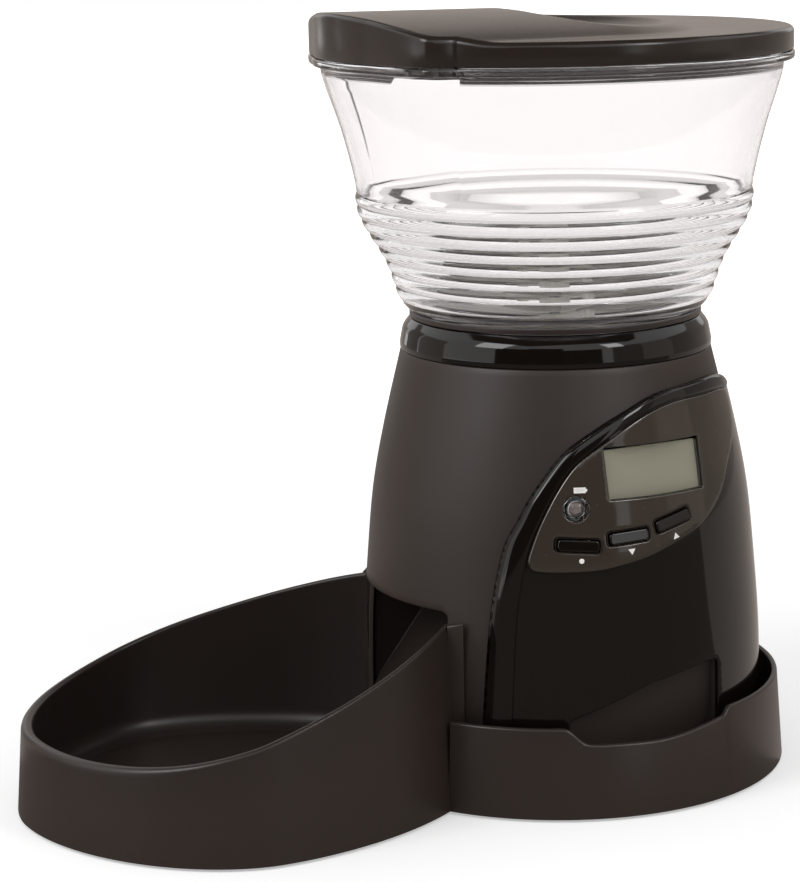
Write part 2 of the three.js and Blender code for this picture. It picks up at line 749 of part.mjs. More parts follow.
function lampRing() {
  const top = seatGap + panel.band + lampRise.ring;
  return turned(
    [[lamp.bore, 0], [lamp.radius, 0], [lamp.radius, top - lampRise.ring], [lamp.bore, top]],
    smallSides,
    onWall(lamp.angle, heightAt(lamp)),
  );
}
function lampLens() {
  const radius = lamp.bore - seatGap;
  const profile = [[0, 0], [radius, 0], [radius, lamp.lens]];
  for (let i = 1; i < domeSteps; i++) {
    const a = (Math.PI * i) / (2 * domeSteps);
    profile.push([radius * Math.cos(a), lamp.lens + lamp.dome * Math.sin(a)]);
  }
  profile.push([0, lamp.lens + lamp.dome]);
  return turned(profile, smallSides, onWall(lamp.angle, heightAt(lamp), lampRise.led + seatGap));
}
function lampLed() {
  return rod(lamp.lens, lamp.stem, onWall(lamp.angle, heightAt(lamp), lampRise.led - lamp.stem));
}

const keyTop = 2 * seatGap + panel.field + panel.plate + key.proud;
function keyCap(one) {
  return keyForm(one, key.width, key.depth, -key.stem, keyTop);
}

// The rubber mat behind the keys, against the inside of the wall.
function keypadMat() {
  const outer = -tower.wall - seatGap;
  const bottom = heightAt(keys[0]) - mat.below;
  const top = heightAt(keys.at(-1)) + mat.above;
  const layer = wallLayer(outer - mat.thickness, outer, bottom, top);
  const middleAngle = keys[1].angle;
  const outline = [
    [-mat.left, bottom - overrun],
    [mat.right + mat.left / 2, bottom - overrun],
    [mat.right + mat.left / 2, top + overrun],
    [-mat.left, top + overrun],
  ];
  const whole = layer.intersect(prism(outline, tower.footRadius, facing(middleAngle, grip.depth)));
  const stemPlace = onWall(lamp.angle, heightAt(lamp), -2 * wallDepth);
  return whole.subtract(rod(lamp.lens + slideGap, 2 * wallDepth, stemPlace));
}

function bottomCover() {
  const radius = towerRadius(cover.height) - tower.wall - seatGap;
  const plate = rod(radius, cover.thickness, shift(0, 0, cover.height), roundSides);
  return boss.angles.reduce((left, angle) => {
    const a = radians(angle);
    const place = shift(boss.reach * Math.sin(a), -boss.reach * Math.cos(a), cover.height - overrun);
    return left.subtract(rod(boss.hole, cover.thickness + 2 * overrun, place));
  }, plate);
}

function coverScrews(material) {
  const shank = rod(screw.shankRadius, screw.headHeight + screw.shankLength);
  const form = rod(screw.headRadius, screw.headHeight).add(shank);
  return boss.angles.map((angle, i) => {
    const a = radians(angle);
    const made = piece("cover_screw_" + (i + 1), form, material);
    const base = cover.height - seatGap - screw.headHeight;
    made.position.set(boss.reach * Math.sin(a), -boss.reach * Math.cos(a), base);
    return made;
  });
}

function neckCollar() {
  const low = collarBottom - collar.spigot;
  return turned([
    [towerRadius(towerTop) + slideGap, collarBottom],
    [collar.shoulderRadius, collarTop - collar.shoulderDrop],
    [collar.topRadius, collarTop],
    [collar.bore, collarTop],
    [collar.bore, low + collar.ledgeHeight],
    [collar.ledge, low + collar.ledgeHeight],
    [collar.ledge, low],
    [towerRadius(towerTop) - tower.wall - liftGap, low],
    [towerRadius(towerTop) - tower.wall - liftGap, collarBottom],
  ]);
}

function hopperRing() {
  const low = collarTop + seatGap;
  return turned([
    [neckRing.bore, low],
    [neckRing.outer, low],
    [neckRing.outer, low + neckRing.height],
    [neckRing.bore, low + neckRing.height],
  ]);
}

// A sector of a flat ring in front of the axis.
function sector(near, far, halfAngle, bottom, height) {
  const arc = (radius, from, to) =>
    Array.from({ length: sectorSteps + 1 }, (_, i) => {
      const a = radians(from + ((to - from) * i) / sectorSteps);
      return [radius * Math.sin(a), -radius * Math.cos(a)];
    });
  const outline = [...arc(far, -halfAngle, halfAngle), ...arc(near, halfAngle, -halfAngle)];
  return prism(outline, height, shift(0, 0, bottom));
}

function meteringDeck() {
  const plate = rod(collar.bore - seatGap, deck.thickness, shift(0, 0, deckBottom), roundSides);
  const cup = turned([
    [deck.cupBore, deckTop - deck.thickness / 2],
    [deck.cupBore + deck.cupWall, deckTop - deck.thickness / 2],
    [deck.cupBore + deck.cupWall, cupTop],
    [deck.cupBore, cupTop],
  ]);
  const cutHeight = deck.thickness + 2 * overrun;
  const hole = rod(shaft.radius + slideGap, cutHeight, shift(0, 0, deckBottom - overrun));
  const way = sector(outlet.near, outlet.far, outlet.halfAngle, deckBottom - overrun, cutHeight);
  return plate.add(cup).subtract(hole).subtract(way);
}

function outletBaffle() {
  return sector(baffle.near, deck.cupBore + deck.cupWall, baffle.halfAngle, baffleBottom, baffle.thickness);
}

function portionWheel() {
  const low = deckTop + slideGap;
  let made = rod(wheel.hub, wheel.height, shift(0, 0, low));
  for (let i = 0; i < wheel.vanes; i++) {
    const turn = new THREE.Matrix4().makeRotationZ((2 * Math.PI * i) / wheel.vanes);
    const place = turn.multiply(shift(wheel.reach / 2, 0, low));
    made = made.add(block(wheel.reach, wheel.vaneThickness, wheel.height, place));
  }
  return made.subtract(rod(shaft.radius + seatGap, wheel.height + 2 * overrun, shift(0, 0, low - overrun)));
}

function stirrer() {
  const low = shaftTop + agitator.cap - agitator.height;
  const hub = rod(agitator.hub, agitator.height, shift(0, 0, low));
  const arm = block(agitator.armLength, agitator.armWidth, agitator.armHeight, shift(0, 0, low));
  const reach = agitator.armLength / 2 - agitator.armWidth / 2;
  const finger = (side) =>
    block(agitator.armWidth, agitator.armWidth, agitator.finger, shift(side * reach, 0, low));
  const boreHeight = agitator.height - agitator.cap + overrun;
  const bore = rod(shaft.radius + seatGap, boreHeight, shift(0, 0, low - overrun + seatGap));
  return hub.add(arm).add(finger(1)).add(finger(-1)).subtract(bore);
}

// A spur gear with straight-sided teeth. Its first tooth or gap lies at the given angle from +X.
function gear(teeth, width, phase) {
  const pitchRadius = (gearModule * teeth) / 2;
  const tip = pitchRadius + toothShares.addendum * gearModule;
  const root = pitchRadius - toothShares.dedendum * gearModule;
  const step = fullTurn / teeth;
  const outline = [];
  for (let i = 0; i < teeth; i++) {
    const centre = phase + i * step;
    for (const [radius, part] of [
      [root, -toothShares.root],
      [tip, -toothShares.tip],
      [tip, toothShares.tip],
      [root, toothShares.root],
    ]) {
      const a = radians(centre + part * step);
      outline.push([radius * Math.cos(a), radius * Math.sin(a)]);
    }
  }
  return prism(outline, width);
}
const centres = (first, second) => (gearModule * (first + second)) / 2 + mesh.apart;
const idlerPlace = new THREE.Vector2(0, centres(outputTeeth, pinionTeeth));
const motorPlace = new THREE.Vector2(-centres(wheelTeeth, motorTeeth), idlerPlace.y);
const caseFloor = caseBottom + gearCase.plate;
const caseTop = caseFloor + gearCase.inside;
const idlerBottom = caseFloor + gearCase.clearance;
const outputBottom = idlerBottom + gearWidths.wheel + gearCase.clearance;

function outputGear() {
  const bore = rod(shaft.radius + seatGap, gearWidths.output + 2 * overrun, shift(0, 0, -overrun));
  return gear(outputTeeth, gearWidths.output, 90).subtract(bore);
}
function idlerGear() {
  const low = gear(wheelTeeth, gearWidths.wheel, 180);
  const high = gear(pinionTeeth, gearWidths.wheel + gearWidths.pinion, 270 + 180 / pinionTeeth);
  const length = gearWidths.wheel + gearWidths.pinion + 2 * overrun;
  const bore = rod(idlerPin.radius + seatGap, length, shift(0, 0, -overrun));
  return low.add(high).subtract(bore);
}
function motorPinion() {
  const teeth = gear(motorTeeth, gearWidths.motor, 180 / motorTeeth);
  const length = gearCase.clearance + gearCase.plate + seatGap + motor.shaftDepth;
  const stub = rod(motor.shaftRadius, length + gearWidths.motor / 2, shift(0, 0, -length), smallSides);
  return teeth.add(stub);
}
function gearReach(teeth) {
  const tip = (gearModule * teeth) / 2 + toothShares.addendum * gearModule;
  return tip + gearCase.clearance;
}
function caseOutline(grow, bottom, height) {
  const round = (x, y, radius) => rod(radius + grow, height, shift(x, y, bottom), roundSides / 2);
  return round(0, 0, gearReach(outputTeeth))
    .add(round(idlerPlace.x, idlerPlace.y, gearReach(wheelTeeth)))
    .add(round(motorPlace.x, motorPlace.y, gearReach(motorTeeth)));
}
function gearboxCase() {
  const wallBottom = caseFloor + seatGap;
  const outer = caseOutline(gearCase.wall, wallBottom, caseTop + gearCase.plate - wallBottom);
  const inner = caseOutline(0, wallBottom - overrun, caseTop - wallBottom + overrun);
  const bossHeight = deckBottom - seatGap - caseTop - gearCase.plate / 2;
  const bosses = [gearReach(outputTeeth) / 2, -gearReach(outputTeeth) / 2].map((x) =>
    rod(gearCase.bossRadius, bossHeight, shift(x, 0, caseTop + gearCase.plate / 2)),
  );
  const shaftHoleHeight = 2 * gearCase.plate + overrun;
  const shaftHole = rod(shaft.radius + slideGap, shaftHoleHeight, shift(0, 0, caseTop - overrun / 2));
  const pinPlace = shift(idlerPlace.x, idlerPlace.y, caseTop - gearCase.plate / 2);
  const pinHole = rod(idlerPin.radius + seatGap, gearCase.plate, pinPlace);
  return outer.subtract(inner).add(bosses[0]).add(bosses[1]).subtract(shaftHole).subtract(pinHole);
}
function gearboxCover() {
  const plate = caseOutline(gearCase.wall, caseBottom, gearCase.plate);
  const low = caseBottom - overrun;
  const hole = (x, y, radius) => rod(radius, gearCase.plate + 2 * overrun, shift(x, y, low));
  return plate
    .subtract(hole(0, 0, shaft.radius + slideGap))
    .subtract(hole(idlerPlace.x, idlerPlace.y, idlerPin.radius + seatGap))
    .subtract(hole(motorPlace.x, motorPlace.y, motor.shaftRadius + slideGap));
}
function idlerPinRod() {
  const low = caseBottom + seatGap;
  return rod(idlerPin.radius, caseTop + gearCase.plate / 4 - low, shift(idlerPlace.x, idlerPlace.y, low));
}
function driveShaft() {
  const low = caseBottom + seatGap;
  return rod(shaft.radius, shaftTop - low, shift(0, 0, low));
}
function driveMotor() {
  const top = caseBottom - seatGap;
  const place = shift(motorPlace.x, motorPlace.y, top - motor.height);
  const can = rod(motor.radius, motor.height, place);
  const tailPlace = shift(motorPlace.x, motorPlace.y, top - motor.height - gearCase.plate);
  const tail = rod(motor.radius / 3, motor.height + gearCase.plate, tailPlace);
  const holePlace = shift(motorPlace.x, motorPlace.y, top - motor.shaftDepth - seatGap);
  const hole = rod(motor.shaftRadius + slideGap, overrun + motor.shaftDepth + seatGap, holePlace);
  return can.add(tail).subtract(hole);
}

// The upright duct from the deck's outlet, and the wide spout that it drops into.
function foodDuct() {
  const height = deckBottom - seatGap - ductBottom;
  const depth = duct.far - duct.near;
  const centre = -(duct.far + duct.near) / 2;
  const outerWidth = 2 * (duct.halfWidth + duct.wall);
  const outer = block(outerWidth, depth + 2 * duct.wall, height, shift(0, centre, ductBottom));
  const innerPlace = shift(0, centre, ductBottom - overrun);
  const inner = block(2 * duct.halfWidth, depth, height + 2 * overrun, innerPlace);
  return outer.subtract(inner);
}
function outletSpout() {
  const half = tower.openingHalfWidth + spout.gap;
  const low = cover.height + cover.thickness + seatGap;
  const roofTop = ductBottom - seatGap;
  const front = tower.footRadius + 2 * overrun;
  const outerHalf = half + spout.wall;
  const outerSide = [
    [-front, low],
    [-front, roofTop],
    [-spout.back + spout.wall, roofTop],
    [-spout.back + spout.wall, spoutRoof - spout.wall],
    [-spout.lip + spout.wall, low],
  ];
  const innerSide = [
    [-front - overrun, low + spout.floor],
    [-front - overrun, spoutRoof],
    [-spout.back, spoutRoof],
    [-spout.lip, low + spout.floor],
  ];
  const whole = prism(outerSide, 2 * outerHalf, sideways.clone().setPosition(-outerHalf, 0, 0));
  const outer = whole.intersect(insideTower(seatGap));
  const inner = prism(innerSide, 2 * half, sideways.clone().setPosition(-half, 0, 0));
  const mouthDepth = duct.far - duct.near;
  const mouthPlace = shift(0, -(duct.far + duct.near) / 2, spoutRoof - overrun);
  const mouth = block(2 * duct.halfWidth, mouthDepth, 2 * overrun, mouthPlace);
  return outer.subtract(inner).subtract(mouth);
}

// The battery bay, in a group that is turned to the door. Its own back is +Y.
const contactRise = 3 * bay.contact;
const cellBottom = bay.bottom + bay.wall + seatGap + contactRise + seatGap;
const bayTop = cellBottom + cell.height + cell.nubHeight + seatGap + bay.contact + seatGap + bay.wall;
const cellPlaces = [-1, 0, 1].map((side) => {
  const a = radians(side * cell.pitch);
  return [cell.ring * Math.sin(a), cell.ring * Math.cos(a)];
});
function batteryHolder() {
  const half = bay.halfWidth + bay.wall;
  const height = bayTop - bay.bottom;
  const depth = tower.footRadius;
  const outer = block(2 * half, depth, height, shift(0, bay.depth + depth / 2, bay.bottom));
  const inner = block(
    2 * bay.halfWidth,
    depth,
    height - 2 * bay.wall,
    shift(0, bay.depth + bay.wall + depth / 2, bay.bottom + bay.wall),
  );
  return outer.subtract(inner).intersect(insideTower(seatGap));
}
function batteryCell() {
  const body = rod(cell.radius, cell.height);
  return body.add(rod(cell.nub, cell.height + cell.nubHeight));
}
function contactPlate() {
  const side = cell.radius;
  return block(side, side, bay.contact);
}
// A leaf spring contact: a flat tongue bent up under each cell.
function leafContact() {
  const length = cell.radius;
  const low = bay.contact;
  const outline = [
    [0, 0],
    [length, 0],
    [length, low],
    [2 * low, low],
    [length - low, 2 * low],
    [length - low, contactRise],
    [0, low],
  ];
  const width = cell.radius / 2;
  return prism(outline, width, sideways.clone().setPosition(-width / 2, -length / 2, 0));
}

function batteryDoor() {
  const patch = wallLayer(-tower.wall, 0, door.bottom - overrun, door.top + overrun).intersect(doorSpace(0));
  const tabSpan = door.tabDepth + tower.wall;
  const out = towerRadius(door.top) - tower.wall;
  const place = facing(bay.angle, out - slideGap);
  const low = door.top - 2 * door.tabHeight;
  const tabOutline = [
    [-door.tabWidth / 2, low],
    [door.tabWidth / 2, low],
    [door.tabWidth / 2, low + door.tabHeight],
    [-door.tabWidth / 2, low + door.tabHeight],
  ];
  return patch.add(prism(tabOutline, tabSpan, place));
}

// The hopper's radius and turn of plan at a share of its height.
function hopperLevel(share) {
  const above = Math.max(1, hopperShares.findIndex(([level]) => level >= share));
  const [low, high] = [hopperShares[above - 1], hopperShares[above]];
  const part = (share - low[0]) / (high[0] - low[0]);
  return [1, 2].map((i) => low[i] + part * (high[i] - low[i]));
}
function hopperRingAt(share, grow) {
  const [radius, turnOfPlan] = hopperLevel(share);
  const base = hopper.footRadius + radius * (mouthRadius - hopper.footRadius) + grow;
  const radiusAt = (angle) => base + turnOfPlan * (planRadius(angle) - lid.radius);
  return ring(radiusAt, hopperBottom + share * hopper.height);
}
function hopperBody() {
  const low = hopperBottom;
  const flangeShare = 1 - hopper.flangeHeight / hopper.height;
  const round = (radius, height) => ring(() => radius, height);
  const outside = [hopperRingAt(hopperShares[1][0], 0)];
  const pitch = (hopper.ribEnd - hopper.ribStart) / (hopper.ribs - 1);
  for (let i = 0; i < hopper.ribs; i++) {
    const start = (hopper.ribStart + i * pitch) / hopper.height;
    outside.push(hopperRingAt(start, -hopper.ribRise / 2));
    outside.push(hopperRingAt(start + hopper.ribHeight / hopper.height, hopper.ribRise / 2));
  }
  for (const [share] of hopperShares.slice(firstPlainLevel, -1)) outside.push(hopperRingAt(share, 0));
  outside.push(hopperRingAt(flangeShare, 0));
  outside.push(hopperRingAt(flangeShare, flangeRadius - mouthRadius));
  outside.push(hopperRingAt(1, flangeRadius - mouthRadius));
  const insideLevels = hopperShares.slice(firstInsideLevel).reverse();
  const inside = insideLevels.map(([share]) => hopperRingAt(share, -hopper.wall));
  const floorTop = low + hopper.floor;
  return loft(
    [
      round(hopper.footRadius, low),
      ...outside,
      ...inside,
      hopperRingAt((2 * hopper.floor) / hopper.height, -2 * hopper.wall),
      round(hopper.outlet, floorTop),
      round(hopper.outlet, low - hopper.spigotDepth),
      round(hopper.spigot, low - hopper.spigotDepth),
      round(hopper.spigot, low),
    ],
    true,
  );
}

// The height of the lid's crest over its ledge: a little higher in front, and falling behind the axis.
function crestAt(y) {
  return y < 0 ? lid.rise - (lid.frontRise * y) / lid.radius : lid.rise - (y * y) / (2 * lid.backRadius);
}
const domeEnd = Math.sqrt(2 * lid.backRadius * lid.rise * domeEndShare);
const roofStations = [-lid.radius - overrun, 0];
for (let i = 1; i <= domeSteps; i++) roofStations.push((domeEnd * i) / domeSteps);

// The raised part's arched section at a place along the lid.
function archSection(y, sill, edge) {
  const crest = crestAt(y);
  const half = Math.sqrt(2 * lid.archRadius * crest);
  const points = [[half, y, sill], [-half, y, sill]];
  for (let i = 0; i <= archFlats; i++) {
    const x = half * ((2 * i) / archFlats - 1);
    points.push([x, y, edge + crest - (x * x) / (2 * lid.archRadius)]);
  }
  return points;
}

// The lid's outside form, drawn in all round and lowered.
function lidForm(inset, drop) {
  const bottom = lidBottom - (inset ? overrun : 0);
  const edge = ledgeTop - drop;
  const skirt = loft([
    planRing(inset, bottom),
    planRing(inset, edge - lid.edge),
    planRing(inset + lid.edge / 4, edge - lid.edge / 3),
    planRing(inset + lid.edge, edge),
  ]);
  const sill = edge - lid.edge;
  const roof = loft(roofStations.map((y) => archSection(y, sill, edge)));
  const tallTop = planRing(inset + lid.edge / 2, edge + 2 * lid.rise);
  const tall = loft([planRing(inset + lid.edge / 4, sill), tallTop]);
  return skirt.add(roof.intersect(tall));
}
function dishForm(grow) {
  const flats = roundSides / 2;
  const geometry = new THREE.SphereGeometry(1, flats, flats / 4);
  geometry.scale(dish.halfWidth + grow, dish.depth + grow, dish.halfLength + grow);
  geometry.rotateX(Math.PI / 2);
  geometry.translate(0, dish.centre, ledgeTop + lid.rise);
  return solidFrom(geometry);
}
function lidBody() {
  const outside = lidForm(0, 0);
  const hollow = lidForm(lid.wall, lid.wall);
  const bowl = dishForm(dish.wall).intersect(outside);
  const lipOuter = hopper.mouthInset + hopper.wall + lid.lipGap;
  const lipInner = lipOuter + lid.lipWall;
  const lipTop = ledgeTop - lid.wall / 2;
  const lipBottom = lidBottom - lid.lipDepth;
  const lipRings = [
    planRing(lipOuter, lipBottom),
    planRing(lipOuter, lipTop),
    planRing(lipInner, lipTop),
    planRing(lipInner, lipBottom),
  ];
  const lip = loft(lipRings, true);
  return outside.subtract(hollow).add(bowl).add(lip).subtract(dishForm(0));
}

const materials = Object.fromEntries(
  Object.entries(finishes).map(([name, finish]) => [name, new THREE.MeshStandardMaterial(finish)]),
);

function withPosition(made, x, y, z) {
  made.position.set(x, y, z);
  return made;
}

const feeder = new THREE.Group();

const base = new THREE.Group();
base.add(piece("base_tray", baseTray(), materials.satinBlack), ...feet(materials.rubber));
feeder.add(base);

const housing = new THREE.Group();
housing.add(
  piece("tower_shell", towerShell(), materials.charcoal),
  piece("control_panel", controlPanel(), materials.glossBlack),
  piece("control_plate", controlPlate(), materials.glossBlack),
  piece("display_lens", displayLens(), materials.clearLens),
  piece("display_module", displayModule(), materials.displayGrey),
  piece("circuit_board", circuitBoard(), materials.board),
  piece("lamp_ring", lampRing(), materials.steel),
  piece("lamp_lens", lampLens(), materials.lampClear),
  piece("lamp_led", lampLed(), materials.white),
  piece("keypad_mat", keypadMat(), materials.rubber),
  piece("bottom_cover", bottomCover(), materials.darkGrey),
  piece("neck_collar", neckCollar(), materials.glossBlack),
  piece("neck_ring", hopperRing(), materials.satinBlack),
  piece("metering_deck", meteringDeck(), materials.white),
  piece("outlet_baffle", outletBaffle(), materials.white),
  piece("food_duct", foodDuct(), materials.darkGrey),
  piece("outlet_spout", outletSpout(), materials.satinBlack),
  ...coverScrews(materials.steel),
);
for (const one of keys) housing.add(piece(one.name, keyCap(one), materials.glossBlack));
feeder.add(housing);

const gearbox = new THREE.Group();
gearbox.add(
  piece("gearbox_case", gearboxCase(), materials.darkGrey),
  piece("gearbox_cover", gearboxCover(), materials.darkGrey),
  piece("idler_pin", idlerPinRod(), materials.steel),
  piece("drive_motor", driveMotor(), materials.nickel),
  withPosition(piece("motor_pinion", motorPinion(), materials.nylon), ...motorPlace, idlerBottom),
  withPosition(piece("idler_gear", idlerGear(), materials.nylon), ...idlerPlace, idlerBottom),
);
feeder.add(gearbox);

const drive = new THREE.Group();
drive.add(
  piece("drive_shaft", driveShaft(), materials.steel),
  withPosition(piece("output_gear", outputGear(), materials.nylon), 0, 0, outputBottom),
  piece("portion_wheel", portionWheel(), materials.white),
  piece("agitator", stirrer(), materials.white),
);
feeder.add(drive);

feeder.add(piece("battery_door", batteryDoor(), materials.charcoal));
const batteries = new THREE.Group();
batteries.rotation.z = radians(bay.angle - 180);
cellPlaces.forEach(([x, y], i) => {
  const low = bay.bottom + bay.wall + seatGap;
  const top = cellBottom + cell.height + cell.nubHeight + seatGap;
  batteries.add(
    withPosition(piece("cell_" + (i + 1), batteryCell(), materials.cellJacket), x, y, cellBottom),
    withPosition(piece("spring_contact_" + (i + 1), leafContact(), materials.nickel), x, y, low),
    withPosition(piece("top_contact_" + (i + 1), contactPlate(), materials.nickel), x, y, top),
  );
});
batteries.add(piece("battery_holder", batteryHolder(), materials.darkGrey));
feeder.add(batteries);

feeder.add(piece("hopper", hopperBody(), materials.clearPlastic));
feeder.add(piece("lid", lidBody(), materials.lidBlack));

feeder.position.y = middle;
export default feeder;
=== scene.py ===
"""A programmable pet feeder: a tray with a bowl, a tower with controls, a clear hopper and its lid.

Lengths are in metres. An angle round the tower starts at -Y, towards the bowl, and grows towards +X.
"""

import math

import bmesh
import bpy
import numpy as np
from bpy.props import FloatProperty, FloatVectorProperty, IntProperty, PointerProperty
from mathutils import Matrix, Vector
from mathutils.geometry import delaunay_2d_cdt


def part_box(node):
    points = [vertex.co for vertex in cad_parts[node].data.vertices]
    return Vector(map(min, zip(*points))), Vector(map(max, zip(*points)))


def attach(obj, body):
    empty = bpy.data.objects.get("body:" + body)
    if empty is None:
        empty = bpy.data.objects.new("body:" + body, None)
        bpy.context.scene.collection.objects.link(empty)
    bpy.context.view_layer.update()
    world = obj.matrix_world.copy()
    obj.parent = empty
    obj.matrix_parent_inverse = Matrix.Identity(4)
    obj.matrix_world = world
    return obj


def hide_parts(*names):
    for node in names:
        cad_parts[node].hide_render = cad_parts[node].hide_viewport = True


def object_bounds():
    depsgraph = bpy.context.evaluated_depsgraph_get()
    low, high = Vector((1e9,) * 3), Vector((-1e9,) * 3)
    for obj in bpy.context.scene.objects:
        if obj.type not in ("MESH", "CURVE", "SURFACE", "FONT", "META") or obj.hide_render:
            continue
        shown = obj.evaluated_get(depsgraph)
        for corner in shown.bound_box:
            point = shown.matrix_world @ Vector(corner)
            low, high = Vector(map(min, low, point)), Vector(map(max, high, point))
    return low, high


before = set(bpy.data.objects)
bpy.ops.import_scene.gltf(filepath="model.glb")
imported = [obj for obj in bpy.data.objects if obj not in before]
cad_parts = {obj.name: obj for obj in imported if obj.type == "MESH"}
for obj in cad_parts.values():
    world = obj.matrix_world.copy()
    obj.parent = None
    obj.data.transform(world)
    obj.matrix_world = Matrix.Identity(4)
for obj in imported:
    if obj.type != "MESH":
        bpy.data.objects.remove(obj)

bl_info = {
    "name": "Pet Feeder",
    "version": (1, 0, 0),
    "blender": (4, 5, 0),
    "location": "View3D > Sidebar > Feeder",
    "description": "Draws a programmable pet feeder and the studio that it stands in",
    "category": "Object",
}

MM = 0.001
CAD_LOW, CAD_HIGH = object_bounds()
AXIS_Y = (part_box("drive_shaft")[0].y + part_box("drive_shaft")[1].y) / 2
TAU = 2 * math.pi

TRAY_LOW, TRAY_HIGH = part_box("base_tray")
SHELL_LOW, SHELL_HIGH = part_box("tower_shell")
COLLAR_LOW, COLLAR_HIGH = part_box("neck_collar")
NECK_LOW, NECK_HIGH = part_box("neck_ring")
HOPPER_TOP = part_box("hopper")[1].z
LID_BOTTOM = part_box("lid")[0].z
FOOT_RADIUS = (SHELL_HIGH.x - SHELL_LOW.x) / 2
SHELL_HEIGHT = SHELL_HIGH.z - SHELL_LOW.z

# The tower's outline, as shares of its height and of its foot radius.
TOWER_SHARES = ((0, 1), (0.304, 0.992), (0.51, 0.962), (0.669, 0.927), (0.815, 0.868), (1, 0.775))
WALL = 2.5 * MM
SEAT_GAP = 0.3 * MM

# The bowl's rim: shares of the way from its tip to the tower, and of its climb.
RIM_SHARES = (
    (0, 0), (0.122, 0.004), (0.258, 0.075), (0.394, 0.213), (0.529, 0.386), (0.665, 0.56), (0.801, 0.742),
    (0.9, 0.875), (1, 1),
)
BOWL_HALF_WIDTH = 113.4 * MM
BOWL_FRONT = 99 * MM
BOWL_BACK = 149 * MM
BOWL_CENTRE = 198 * MM
BOWL_POWER = 1.8
BOWL_DRAFT = 7.8 * MM
BOWL_TIP_HEIGHT = 46.5 * MM
RIM_END = 76 * MM
RING_FOOT = (TRAY_HIGH.x - TRAY_LOW.x) / 2
RING_LEAN = 3 * MM
RING_TOP = 48 * MM
TRAY_WALL = 3 * MM
BOWL_TIP_WALL = 6.5 * MM
TRAY_FLOOR = 4 * MM
TOWER_CLEAR = FOOT_RADIUS + 0.6 * MM
# The ring's wall starts beside the bowl, and the low ring inside it starts behind the spout.
RING_START = math.radians(38.2)
LOCATOR_START = math.radians(49)

# The short flanges by which the bowl's walls lie against the tower: where they start, how far round they
# reach on the far side and on the near side, and how thick they are at their start and their end.
FLANGE_START = math.radians(35)
FLANGE_REACH = {-1: math.radians(9), 1: math.radians(4.32)}
FLANGE_THICK = (2.6 * MM, 0.6 * MM)

# The finger notch in the ring, along the wall and down from the ring's top.
NOTCH = (
    (-64 * MM, 0), (-57.5 * MM, 0), (-55.5 * MM, 0.7 * MM), (-53 * MM, 2.8 * MM), (-50 * MM, 5.8 * MM),
    (-47.5 * MM, 7.6 * MM), (-43 * MM, 8.4 * MM), (-30 * MM, 8.7 * MM), (-10 * MM, 9 * MM),
    (2.5 * MM, 8.2 * MM), (15 * MM, 6.6 * MM), (28 * MM, 4.8 * MM), (33 * MM, 4 * MM), (35 * MM, 2.6 * MM),
    (37 * MM, 0.5 * MM), (39 * MM, 0), (46 * MM, 0),
)

# The control panel, on the upright plane that it faces.
PANEL_ANGLE = math.radians(96)
PANEL_REACH = 92 * MM
PANEL_BOTTOM = 14 * MM
PANEL_TOP = 211 * MM
PANEL_STAND = 3.0 * MM
PLATE_STAND = 4.3 * MM
ARCH_SHARES = (
    (-0.89, 0.06), (-0.89, 0.19), (-0.85, 0.426), (-0.78, 0.609), (-0.707, 0.69), (-0.62, 0.766),
    (-0.467, 0.858), (-0.293, 0.914), (-0.12, 0.954), (0.076, 0.988), (0.304, 1), (0.598, 1),
    (0.8, 0.965), (0.9, 0.85), (0.95, 0.6), (0.99, 0.18), (0.99, 0.06),
)
LEAF_SHARES = (
    (0.7, 0.954), (0.37, 0.967), (0.138, 0.962), (-0.06, 0.934), (-0.242, 0.888), (-0.408, 0.838),
    (-0.517, 0.777), (-0.614, 0.695), (-0.677, 0.619), (-0.69, 0.582), (-0.64, 0.566), (-0.38, 0.566),
    (-0.222, 0.577), (-0.05, 0.594), (0.158, 0.627), (0.322, 0.657), (0.48, 0.714), (0.588, 0.783),
    (0.733, 0.866),
)
# The raised band across its width: shares of the width, and how far it stands off the wall in millimetres.
BAND_SECTION = (
    (0, 0.3), (0, 2.9), (0.035, 3.6), (0.1, 4.05), (0.22, 4.26), (0.5, 4.3), (0.78, 4.26), (0.9, 4.1),
    (0.97, 3.7), (1, 3.1), (1, 1.5),
)
# The raised band's inner edge, from the panel's foot up its left side to the plate.
BAND_FOOT_SHARES = ((-0.79, 0.06), (-0.79, 0.2), (-0.765, 0.4), (-0.735, 0.51))
GRIP = (
    (-48.5 * MM, 22 * MM), (36 * MM, 22 * MM), (36 * MM, 71 * MM), (26.3 * MM, 71 * MM), (-8 * MM, 65.5 * MM),
    (-48.5 * MM, 49 * MM),
)
GRIP_DEPTH = 12 * MM

DISPLAY_ANGLE = math.radians(97.5)
DISPLAY_HEIGHT = 172 * MM
DISPLAY_SIZE = (56 * MM, 26.5 * MM)
LAMP_ANGLE = math.radians(71.6)
LAMP_HEIGHT = 156 * MM
LAMP_RADIUS = 6.25 * MM
# Each key: its name, its angle round the tower, its height and how far it is turned.
KEYS = (
    ("key_left", 72, 138 * MM, -4),
    ("key_middle", 86.5, 141 * MM, 3.5),
    ("key_right", 100.7, 146.3 * MM, 12.5),
)
KEY_SIZE = (21 * MM, 6 * MM)
KEY_RECESS = (23.5 * MM, 8 * MM)

DOOR_ANGLE = math.radians(195)
DOOR_HALF = 55 * MM
DOOR_BOTTOM = 50.5 * MM
DOOR_TOP = 113.5 * MM

# The opening in the tower's front, over the bowl.
SPOUT_HALF = 56 * MM
SPOUT_BOTTOM = 12 * MM
SPOUT_TOP = 100 * MM

